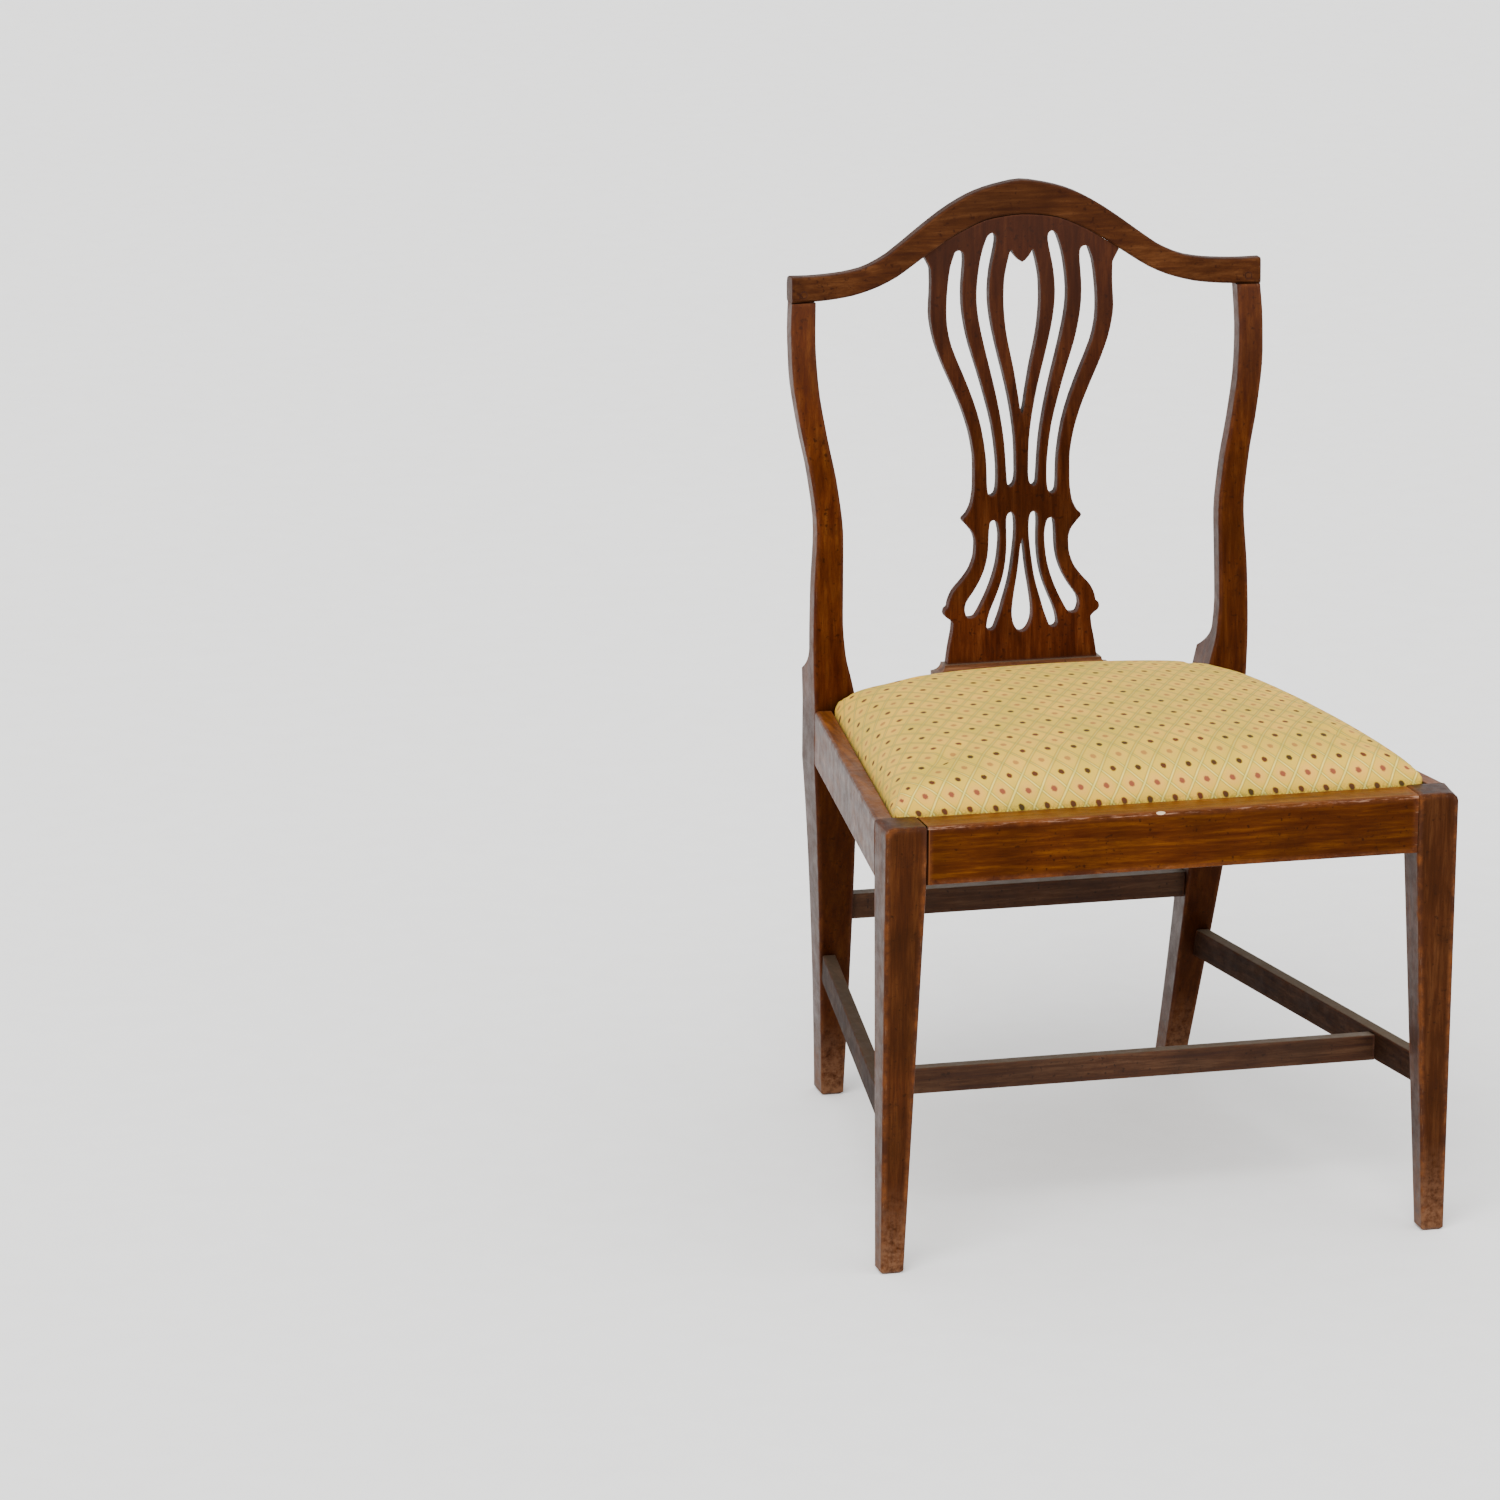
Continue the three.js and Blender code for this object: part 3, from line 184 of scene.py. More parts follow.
def waxed_mahogany(name, grain, dark, middle, light, dust=0.0, sheen=0.42, corner_dirt_and_shade=0.85, rub_width=4.0,
                   glow="#ff8c3c", shine=0.25, top=0.0, low=1.0, low_at=(395, 430), smudge=0.35, wear=0.2,
                   painted_top_sheen=0.0, open_joint=None, chip_at=None):
    """Old waxed mahogany: striped red-brown figure, fine open pores, polish worn pale on the arrises with a
    painted highlight in the pale, dirt and painted shade in the corners, a painted grey sheen towards the
    top of the back, a painted shadow low down on the back posts, and feet scuffed by floors. The figure has
    three colours, and the other values say how much of each mark a member has, and where."""
    material, tree, where = start_material(name)
    turned = add(tree, "Mapping", {"Vector": where, "Rotation": GRAIN[grain]})

    # Figure: stripes about 7 mm wide that run on for 100 mm and break up into threads of 1 mm
    long_way = add(tree, "Mapping", {"Vector": turned, "Scale": (1, 1, 0.07)})
    figure = add(tree, "TexNoise", {"Vector": long_way, "Scale": 1 / (7 * MM), "Detail": 6.0,
                                    "Roughness": 0.74, "Distortion": 0.25})
    ramp = add(tree, "ValToRGB", {"Fac": figure}).node
    ramp.color_ramp.elements[0].position = 0.34
    ramp.color_ramp.elements[0].color = linear(dark)
    ramp.color_ramp.elements[1].position = 0.68
    ramp.color_ramp.elements[1].color = linear(light)
    ramp.color_ramp.elements.new(0.5).color = linear(middle)

    # Patina: clouds about 70 mm across where the colour has deepened
    clouds = add(tree, "TexNoise", {"Vector": turned, "Scale": 1 / (70 * MM), "Detail": 3.0})
    clouded = add(tree, "MapRange", {"Value": clouds, "From Min": 0.3, "From Max": 0.7,
                                     "To Min": 0.64, "To Max": 1.3})
    shaded = add(tree, "MixRGB", {"Fac": 1.0, "Color1": ramp.outputs[0], "Color2": clouded},
                 blend_type="MULTIPLY")

    # Pores: short dark flecks, really 0.2 mm wide and drawn 0.8 mm wide so that they show
    pore_way = add(tree, "Mapping", {"Vector": turned, "Scale": (1, 1, 0.06)})
    pores = add(tree, "TexNoise", {"Vector": pore_way, "Scale": 1 / (0.8 * MM), "Detail": 2.0})
    pored = add(tree, "MapRange", {"Value": pores, "From Min": 0.56, "From Max": 0.72})
    pore_dark = add(tree, "Math", {0: pored, 1: 0.55}, operation="MULTIPLY")
    colour = add(tree, "MixRGB", {"Fac": pore_dark, "Color1": shaded, "Color2": linear("#1c0c07")})

    # Smudges of old polish, near black, in patches about 25 mm across
    patches = add(tree, "TexNoise", {"Vector": where, "Scale": 1 / (25 * MM), "Detail": 7.0,
                                     "Roughness": 0.7})
    smudged = add(tree, "MapRange", {"Value": patches, "From Min": 0.54, "From Max": 0.68,
                                     "To Max": smudge})
    colour = add(tree, "MixRGB", {"Fac": smudged, "Color1": colour, "Color2": linear("#1a0905")})

    # Dents and ink-dark specks 1 to 3 mm across, thick in some places and rare in others
    specks = add(tree, "TexNoise", {"Vector": where, "Scale": 1 / (4.5 * MM), "Detail": 3.0})
    thick = add(tree, "Math", {0: patches, 1: 0.35, 2: specks}, operation="MULTIPLY_ADD")
    dented = add(tree, "MapRange", {"Value": thick, "From Min": 0.8, "From Max": 0.87,
                                    "To Max": 0.8})
    colour = add(tree, "MixRGB", {"Fac": dented, "Color1": colour, "Color2": linear("#120503")})

    # Low down a member's colour changes: the back posts are darker under the seat, a painted shadow of the
    # seat, and the splat's foot and the crest's ends are lighter
    height = add(tree, "SeparateXYZ", {"Vector": where}, out="Z")
    under = add(tree, "MapRange", {"Value": height, "From Min": low_at[0] * MM, "From Max": low_at[1] * MM,
                                   "To Min": low, "To Max": 1.0})
    colour = add(tree, "MixRGB", {"Fac": 1.0, "Color1": colour, "Color2": under},
                 blend_type="MULTIPLY")

    # A grey sheen painted towards the top of the back: a painted reflection of the light from above
    painted_top_sheen_mask = add(tree, "MapRange", {"Value": height, "From Min": 660 * MM, "From Max": 870 * MM,
                                    "To Max": painted_top_sheen})
    colour = add(tree, "MixRGB", {"Fac": painted_top_sheen_mask, "Color1": colour, "Color2": linear("#382926")})

    # Painted shade in the corners, within 14 mm of a neighbour, with the dirt and old wax held there
    corner = add(tree, "AmbientOcclusion", {"Distance": 14 * MM}, samples=6, out="AO")
    held = add(tree, "MapRange", {"Value": corner, "From Min": 0.25, "From Max": 0.85,
                                  "To Min": corner_dirt_and_shade, "To Max": 0.0})
    colour = add(tree, "MixRGB", {"Fac": held, "Color1": colour, "Color2": linear("#150803")})

    # Arrises bruised dark within a few millimetres, rubbed golden in patches, and nicked pale on their
    # crowns; the pale nicks are partly a painted highlight
    solid = add(tree, "AmbientOcclusion", {"Distance": rub_width * MM}, samples=8, inside=True,
                only_local=True, out="AO")
    edge = add(tree, "MapRange", {"Value": solid, "From Min": 0.96, "From Max": 0.7})
    crown = add(tree, "MapRange", {"Value": solid, "From Min": 0.8, "From Max": 0.6})
    rub = add(tree, "TexNoise", {"Vector": where, "Scale": 1 / (16 * MM), "Detail": 5.0,
                                 "Roughness": 0.7})
    rubbed = add(tree, "MapRange", {"Value": rub, "From Min": 0.44, "From Max": 0.68})
    worn = add(tree, "Math", {0: edge, 1: rubbed}, operation="MULTIPLY")
    for mask, amount, shade in ((edge, 0.4, "#35201b"), (worn, wear, "#84491c")):
        seen = add(tree, "Math", {0: mask, 1: amount}, operation="MULTIPLY")
        colour = add(tree, "MixRGB", {"Fac": seen, "Color1": colour, "Color2": linear(shade)})
    # Pale nicks along the arrises' crowns: worn nicks, and partly a painted highlight
    streak_way = add(tree, "Mapping", {"Vector": turned, "Scale": (1, 1, 0.12)})
    nick = add(tree, "TexNoise", {"Vector": streak_way, "Scale": 1 / (3 * MM), "Detail": 5.0,
                                  "Roughness": 0.8})
    pale_nicks_and_highlight = add(tree, "MapRange", {"Value": nick, "From Min": 0.56, "From Max": 0.68,
                                    "To Max": wear})
    chip = add(tree, "Math", {0: crown, 1: pale_nicks_and_highlight}, operation="MULTIPLY")
    colour = add(tree, "MixRGB", {"Fac": chip, "Color1": colour, "Color2": linear("#a5866c")})
    if open_joint:
        # The joint with the leg has opened: a dark line, and a pale one where its edge is bruised
        along = add(tree, "SeparateXYZ", {"Vector": where}, out="X")
        for reach, width, shade in ((2.0, 0.5, "#54301a"), (0.6, 0.9, "#070302")):
            line = add(tree, "Math", {0: along, 1: (open_joint + reach) * MM, 2: width * MM},
                       operation="COMPARE")
            colour = add(tree, "MixRGB", {"Fac": line, "Color1": colour, "Color2": linear(shade)})

    # Scuffs on the lowest 90 mm
    near_floor = add(tree, "MapRange", {"Value": height, "From Min": 0.0, "From Max": 90 * MM,
                                        "To Min": 1.0, "To Max": 0.0})
    scrape = add(tree, "TexNoise", {"Vector": where, "Scale": 1 / (7 * MM), "Detail": 6.0,
                                    "Roughness": 0.75})
    scraped = add(tree, "MapRange", {"Value": scrape, "From Min": 0.36, "From Max": 0.6})
    scuff = add(tree, "Math", {0: near_floor, 1: scraped}, operation="MULTIPLY")
    bared = add(tree, "Math", {0: scuff, 1: 0.85}, operation="MULTIPLY")
    colour = add(tree, "MixRGB", {"Fac": bared, "Color1": colour, "Color2": linear("#624430")})

    # Tops of the rails, rubbed golden by sitters
    facing = add(tree, "NewGeometry", {}, out="Normal")
    up = add(tree, "SeparateXYZ", {"Vector": facing}, out="Z")
    topmost = add(tree, "MapRange", {"Value": up, "From Min": 0.8, "From Max": 0.98,
                                     "To Max": top})
    bright = add(tree, "MapRange", {"Value": figure, "From Min": 0.35, "From Max": 0.7,
                                    "To Min": 0.25})
    sat_on = add(tree, "Math", {0: topmost, 1: bright}, operation="MULTIPLY")
    colour = add(tree, "MixRGB", {"Fac": sat_on, "Color1": colour, "Color2": linear("#9c5c1e")})
    if chip_at:
        # The upper arris gets a grey-lilac band of painted reflection on its rounding, a broken pale line of
        # painted highlight under it, and one pale chip
        painted_arris_reflection = add(tree, "Math", {0: up, 1: 0.72, 2: 0.2}, operation="COMPARE")
        under_top = add(tree, "Math", {0: up, 1: 0.38, 2: 0.12}, operation="COMPARE")
        broken = add(tree, "MapRange", {"Value": nick, "From Min": 0.5, "From Max": 0.6})
        painted_highlight_line = add(tree, "Math", {0: under_top, 1: broken}, operation="MULTIPLY")
        from_chip = add(tree, "VectorMath", {0: where, 1: place(*chip_at)}, operation="SUBTRACT")
        stretch = [1 / (half_width * MM) for half_width in (4.5, 3, 1.8)]
        oval = add(tree, "VectorMath", {0: from_chip, 1: stretch}, operation="MULTIPLY")
        away = add(tree, "VectorMath", {0: oval}, operation="LENGTH", out="Value")
        ragged = add(tree, "Math", {0: away, 1: nick}, operation="ADD")
        bare = add(tree, "MapRange", {"Value": ragged, "From Min": 1.45, "From Max": 1.3})
        for mask, amount, shade in ((painted_arris_reflection, 0.55, "#6a4640"), (painted_highlight_line, 0.4, "#a07c66"),
                                    (bare, 0.85, "#cdb898")):
            seen = add(tree, "Math", {0: mask, 1: amount}, operation="MULTIPLY")
            colour = add(tree, "MixRGB", {"Fac": seen, "Color1": colour, "Color2": linear(shade)})

    # Dust that lies on faces turned up
    settled = add(tree, "MapRange", {"Value": up, "From Min": 0.8, "From Max": 0.98,
                                     "To Max": dust})
    colour = add(tree, "MixRGB", {"Fac": settled, "Color1": colour, "Color2": linear("#574b3d")})

    # Wax: an uneven gloss, duller where it is rubbed away or scuffed
    base_gloss = add(tree, "MapRange", {"Value": rub, "From Min": 0.3, "From Max": 0.7,
                                        "To Min": sheen - 0.08, "To Max": sheen + 0.12})
    less = add(tree, "Math", {0: worn, 1: scuff}, operation="MAXIMUM")
    gloss = add(tree, "Math", {0: less, 1: 0.2, 2: base_gloss}, operation="MULTIPLY_ADD")
    sunk = add(tree, "Math", {0: scuff, 1: 0.5, 2: pored}, operation="MULTIPLY_ADD")
    relief = add(tree, "Math", {0: sunk, 1: dented}, operation="ADD")
    bump = add(tree, "Bump", {"Height": relief, "Strength": 0.25, "Distance": 0.15 * MM}, invert=True)
    shader = add(tree, "BsdfPrincipled", {
        "Base Color": colour, "Roughness": gloss, "Normal": bump, "IOR": 1.45,
        "Specular IOR Level": shine, "Specular Tint": linear(glow),
    })
    return finish_material(material, tree, shader)


def sawn_beech(name, grain):
    """Plain beech, sawn and never polished: buff, with short brown ray flecks and the marks of the saw,
    and dust and painted shade that darken it grey-brown in its corners."""
    material, tree, where = start_material(name)
    turned = add(tree, "Mapping", {"Vector": where, "Rotation": GRAIN[grain]})
    long_way = add(tree, "Mapping", {"Vector": turned, "Scale": (1, 1, 0.05)})
    rings = add(tree, "TexNoise", {"Vector": long_way, "Scale": 1 / (5 * MM), "Detail": 4.0})
    ramp = add(tree, "ValToRGB", {"Fac": rings}).node
    ramp.color_ramp.elements[0].position = 0.35
    ramp.color_ramp.elements[0].color = linear("#6b4a2c")
    ramp.color_ramp.elements[1].position = 0.68
    ramp.color_ramp.elements[1].color = linear("#947048")
    fleck_way = add(tree, "Mapping", {"Vector": turned, "Scale": (1, 1, 0.3)})
    flecks = add(tree, "TexNoise", {"Vector": fleck_way, "Scale": 1 / (0.9 * MM), "Detail": 1.0})
    flecked = add(tree, "MapRange", {"Value": flecks, "From Min": 0.62, "From Max": 0.7,
                                     "To Max": 0.6})
    brown = add(tree, "MixRGB", {"Fac": flecked, "Color1": ramp.outputs[0],
                                 "Color2": linear("#4d321d")})
    # Dust and painted shade: darker grey-brown within 20 mm of a neighbour
    corner = add(tree, "AmbientOcclusion", {"Distance": 20 * MM}, samples=6, out="AO")
    dust = add(tree, "MapRange", {"Value": corner, "From Min": 0.3, "From Max": 0.9,
                                  "To Min": 0.7, "To Max": 0.0})
    corner_dust_and_shade = add(tree, "MixRGB", {"Fac": dust, "Color1": brown, "Color2": linear("#2f261d")})
    saw = add(tree, "TexWave", {"Vector": turned, "Scale": 1 / (20 * MM), "Distortion": 2.0, "Detail": 2.0},
              bands_direction="Z", out=1)
    bump = add(tree, "Bump", {"Height": saw, "Strength": 0.3, "Distance": 0.1 * MM})
    shader = add(tree, "BsdfPrincipled", {"Base Color": corner_dust_and_shade, "Roughness": 0.8, "IOR": 1.45,
                                          "Specular IOR Level": 0.3, "Normal": bump})
    return finish_material(material, tree, shader)


def woven_linen(name, light, dark, pitch, stripe):
    """Coarse unbleached linen or jute in a plain weave. The threads' spacing is given in millimetres;
    webbing also has a dark stripe along each edge."""
    material, tree, where = start_material(name)
    laid = add(tree, "UVMap", {}, uv_map="threads")
    parts = add(tree, "SeparateXYZ", {"Vector": laid}).node
    per_metre = math.pi / (pitch * MM)
    waves = []
    for way in ("X", "Y"):
        run = add(tree, "Math", {0: parts.outputs[way], 1: per_metre}, operation="MULTIPLY")
        waves.append(add(tree, "Math", {0: run}, operation="SINE"))
    plain = add(tree, "Math", {0: waves[0], 1: waves[1]}, operation="MULTIPLY")
    slub = add(tree, "TexNoise", {"Vector": where, "Scale": 1 / (4 * MM), "Detail": 4.0})
    uneven = add(tree, "Math", {0: slub, 1: 1.4, 2: plain}, operation="MULTIPLY_ADD")
    shade = add(tree, "MapRange", {"Value": uneven, "From Min": -0.3, "From Max": 1.7})
    colour = add(tree, "MixRGB", {"Fac": shade, "Color1": linear(dark), "Color2": linear(light)})
    if stripe:
        # Centred 17 mm off the strip's middle, 3.2 mm wide
        off = add(tree, "Math", {0: parts.outputs["X"]}, operation="ABSOLUTE")
        near = add(tree, "Math", {0: off, 1: 17 * MM, 2: 1.6 * MM}, operation="COMPARE")
        dyed = add(tree, "Math", {0: near, 1: 0.75}, operation="MULTIPLY")
        colour = add(tree, "MixRGB", {"Fac": dyed, "Color1": colour, "Color2": linear("#2a1a12")})
    bump = add(tree, "Bump", {"Height": uneven, "Strength": 0.8, "Distance": 0.3 * MM})
    shader = add(tree, "BsdfPrincipled", {"Base Color": colour, "Roughness": 0.9, "IOR": 1.46,
                                          "Specular IOR Level": 0.2, "Normal": bump})
    return finish_material(material, tree, shader)


def curled_horsehair(name):
    """Curled horsehair packed into a pad: near black, with brown and grey strands."""
    material, tree, where = start_material(name)
    curls = add(tree, "TexNoise", {"Vector": where, "Scale": 1 / (3 * MM), "Detail": 6.0,
                                   "Distortion": 3.0})
    ramp = add(tree, "ValToRGB", {"Fac": curls}).node
    ramp.color_ramp.elements[0].color = linear("#120d0a")
    ramp.color_ramp.elements[1].color = linear("#5a4a3a")
    bump = add(tree, "Bump", {"Height": curls, "Strength": 1.0, "Distance": 1.0 * MM})
    shader = add(tree, "BsdfPrincipled", {"Base Color": ramp.outputs[0], "Roughness": 0.85,
                                          "Normal": bump})
    return finish_material(material, tree, shader)


def cut_iron(name):
    """Iron tacks, blued when they were made and since gone brown with rust."""
    material, tree, where = start_material(name)
    rust = add(tree, "TexNoise", {"Vector": where, "Scale": 1 / (1.5 * MM), "Detail": 4.0})
    patch = add(tree, "MapRange", {"Value": rust, "From Min": 0.4, "From Max": 0.6})
    colour = add(tree, "MixRGB", {"Fac": patch, "Color1": linear("#3a3836"),
                                  "Color2": linear("#4d2a1a")})
    rough = add(tree, "MapRange", {"Value": patch, "To Min": 0.45, "To Max": 0.85})
    metal = add(tree, "MapRange", {"Value": patch, "To Min": 1.0, "To Max": 0.15})
    bump = add(tree, "Bump", {"Height": rust, "Strength": 0.5, "Distance": 0.1 * MM})
    shader = add(tree, "BsdfPrincipled", {"Base Color": colour, "Roughness": rough, "Metallic": metal,
                                          "Normal": bump})
    return finish_material(material, tree, shader)


# chip_at also paints a reflection and a highlight along the front rail's upper arris, besides its chip
FRONT_RAIL = waxed_mahogany("mahogany_front_rail", "across", "#230903", "#361805", "#522d08", corner_dirt_and_shade=0.25,
                            rub_width=7.0, top=0.36, wear=0.34, open_joint=-236, chip_at=(-14, 1, 425.5))
RAILS = {side: waxed_mahogany("mahogany_side_rail_" + side, "deep_" + side, "#260a04", "#3c1b07", "#532f10",
                              corner_dirt_and_shade=0.5, rub_width=6.0, glow="#ffb080", top=0.4)
         for side in ("right", "left")}
LEG_TONES = {"left": ("#1d0804", "#2e1306", "#43240e"), "right": ("#190602", "#281005", "#3d2210")}
LEGS = {side: waxed_mahogany("mahogany_front_leg_" + side, "standing", *tones, rub_width=7.0,
                             glow="#ffa868", smudge=0.8, wear=0.38)
        for side, tones in LEG_TONES.items()}
POST_TONES = {"left": ("#260a04", "#391806", "#4b280d"), "right": ("#200804", "#311405", "#45240c")}
# The back posts get a painted shadow of the seat low down, and a grey sheen painted towards their tops
POSTS = {side: waxed_mahogany("mahogany_back_post_" + side, "standing", *tones, rub_width=5.0, low=0.45,
                              painted_top_sheen=0.36, smudge=0.5)
         for side, tones in POST_TONES.items()}
# The splat and the crest also get the grey sheen painted towards the top of the back
SPLAT = waxed_mahogany("mahogany_splat", "standing", "#1a0602", "#2a0f04", "#3a1c0a", glow="#ff9c5c",
                       rub_width=2.0, low=2.1, low_at=(500, 555), painted_top_sheen=0.3, wear=0.1, sheen=0.5, shine=0.14)
CREST = waxed_mahogany("mahogany_crest", "across", "#1b0904", "#2d1607", "#412612", glow="#ff9450",
                       rub_width=1.2, low=1.3, low_at=(860, 895), wear=0.0, painted_top_sheen=0.1, sheen=0.48, shine=0.18)
SHOE = waxed_mahogany("mahogany_shoe", "across", "#2e140b", "#4d2b15", "#66432a", dust=0.45, glow="#ffd0a8")
CROSS_BARS = waxed_mahogany("mahogany_cross_stretchers", "across", "#1e0a06", "#2c1609", "#3e2819",
                            dust=0.75, sheen=0.55, glow="#ffe0c8", rub_width=2.5)
SIDE_BARS = {side: waxed_mahogany("mahogany_side_stretcher_" + side, "deep_" + side, "#1a0a06", "#261409",
                                  "#372317", dust=dust, sheen=0.7, glow="#ffe0c8", shine=0.1, rub_width=2.5)
             for side, dust in (("right", 0.75), ("left", 0.35))}
BEECH_ACROSS = sawn_beech("beech_sawn_across", "across")
BEECH_DEEP = sawn_beech("beech_sawn_deep", "deep")
WEBBING = woven_linen("linen_webbing", "#a08a62", "#5e4c33", pitch=1.6, stripe=True)
HESSIAN = woven_linen("jute_hessian", "#8f7650", "#44351f", pitch=2.2, stripe=False)
HORSEHAIR = curled_horsehair("horsehair_curled")
IRON = cut_iron("iron_cut_tack")


def close_joint():
    """Takes up the splat's clearance in the crest rail, so that no light shows through the joint."""
    weld = cad["splat"].modifiers.new("whole", "WELD")
    weld.merge_threshold = 0.001 * MM
    swell = cad["splat"].modifiers.new("drawn tight", "DISPLACE")
    swell.strength = SPLAT_GAP * MM
    swell.mid_level = 0


def put_in(name, mesh, body):
    """Puts a mesh into the scene as a named piece that rides on a body."""
    piece = bpy.data.objects.new(name, mesh)
    bpy.context.scene.collection.objects.link(piece)
    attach(piece, body)
    return piece


def knocked_leg(side, outward):
    """A front leg with the outer corner of its top knocked round, most at the front and hardly at the
    side rail."""
    node = "front_leg_" + side
    shape = bmesh.new()
    shape.from_mesh(cad[node].data)
    bmesh.ops.remove_doubles(shape, verts=shape.verts, dist=0.001 * MM)
    inner = place(outward * (FRONT_HALF - KNOCKED), 0, SEAT_TOP - KNOCKED)
    for step in range(KNOCK_STEPS):
        reach = KNOCKED * MM * step / KNOCK_STEPS
        for normal in ((outward, 0, 0), (0, 0, 1)):
            geometry = shape.verts[:] + shape.edges[:] + shape.faces[:]
            cut = inner + reach * Vector(normal)
            bmesh.ops.bisect_plane(shape, geom=geometry, plane_co=cut, plane_no=normal)
    for vert in shape.verts:
        out, up = outward * (vert.co.x - inner.x), vert.co.z - inner.z
        if out > 0 and up > 0:
            behind = min(max((vert.co.y - inner.y) / (LEG * MM), 0), 1)
            pull = (max(out, up) / math.hypot(out, up)) ** (1 - behind)
            vert.co.x, vert.co.z = inner.x + outward * out * pull, inner.z + up * pull
    mesh = bpy.data.meshes.new("knocked_" + node)
    shape.to_mesh(mesh)
    shape.free()
    mesh.materials.append(LEGS[side])
    mesh.shade_flat()
    piece = put_in("knocked_" + node, mesh, "frame")
    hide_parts(node)


def finish_nodes():
    """Gives each solid of the chair that stays in view its finish."""
    finishes = {
        "front_seat_rail": FRONT_RAIL, "back_seat_rail": CREST, "splat": SPLAT, "splat_shoe": SHOE,
        "crest_rail": CREST, "medial_stretcher": CROSS_BARS, "rear_stretcher": CROSS_BARS,
        "seat_frame_front": BEECH_ACROSS, "seat_frame_back": BEECH_ACROSS,
    }
    for side in ("right", "left"):
        finishes.update({
            "back_post_" + side: POSTS[side], "side_seat_rail_" + side: RAILS[side],
            "side_stretcher_" + side: SIDE_BARS[side], "crest_peg_" + side: CREST,
            "seat_frame_side_" + side: BEECH_DEEP, "front_corner_block_" + side: BEECH_ACROSS,
            "back_corner_block_" + side: BEECH_ACROSS,
        })
    finishes.update({name: IRON for name in cad if name.startswith("seat_tack_")})
    for node, finish in finishes.items():
        cad[node].data.materials.clear()
        cad[node].data.materials.append(finish)


finish_nodes()
close_joint()
knocked_leg("left", -1)
knocked_leg("right", 1)


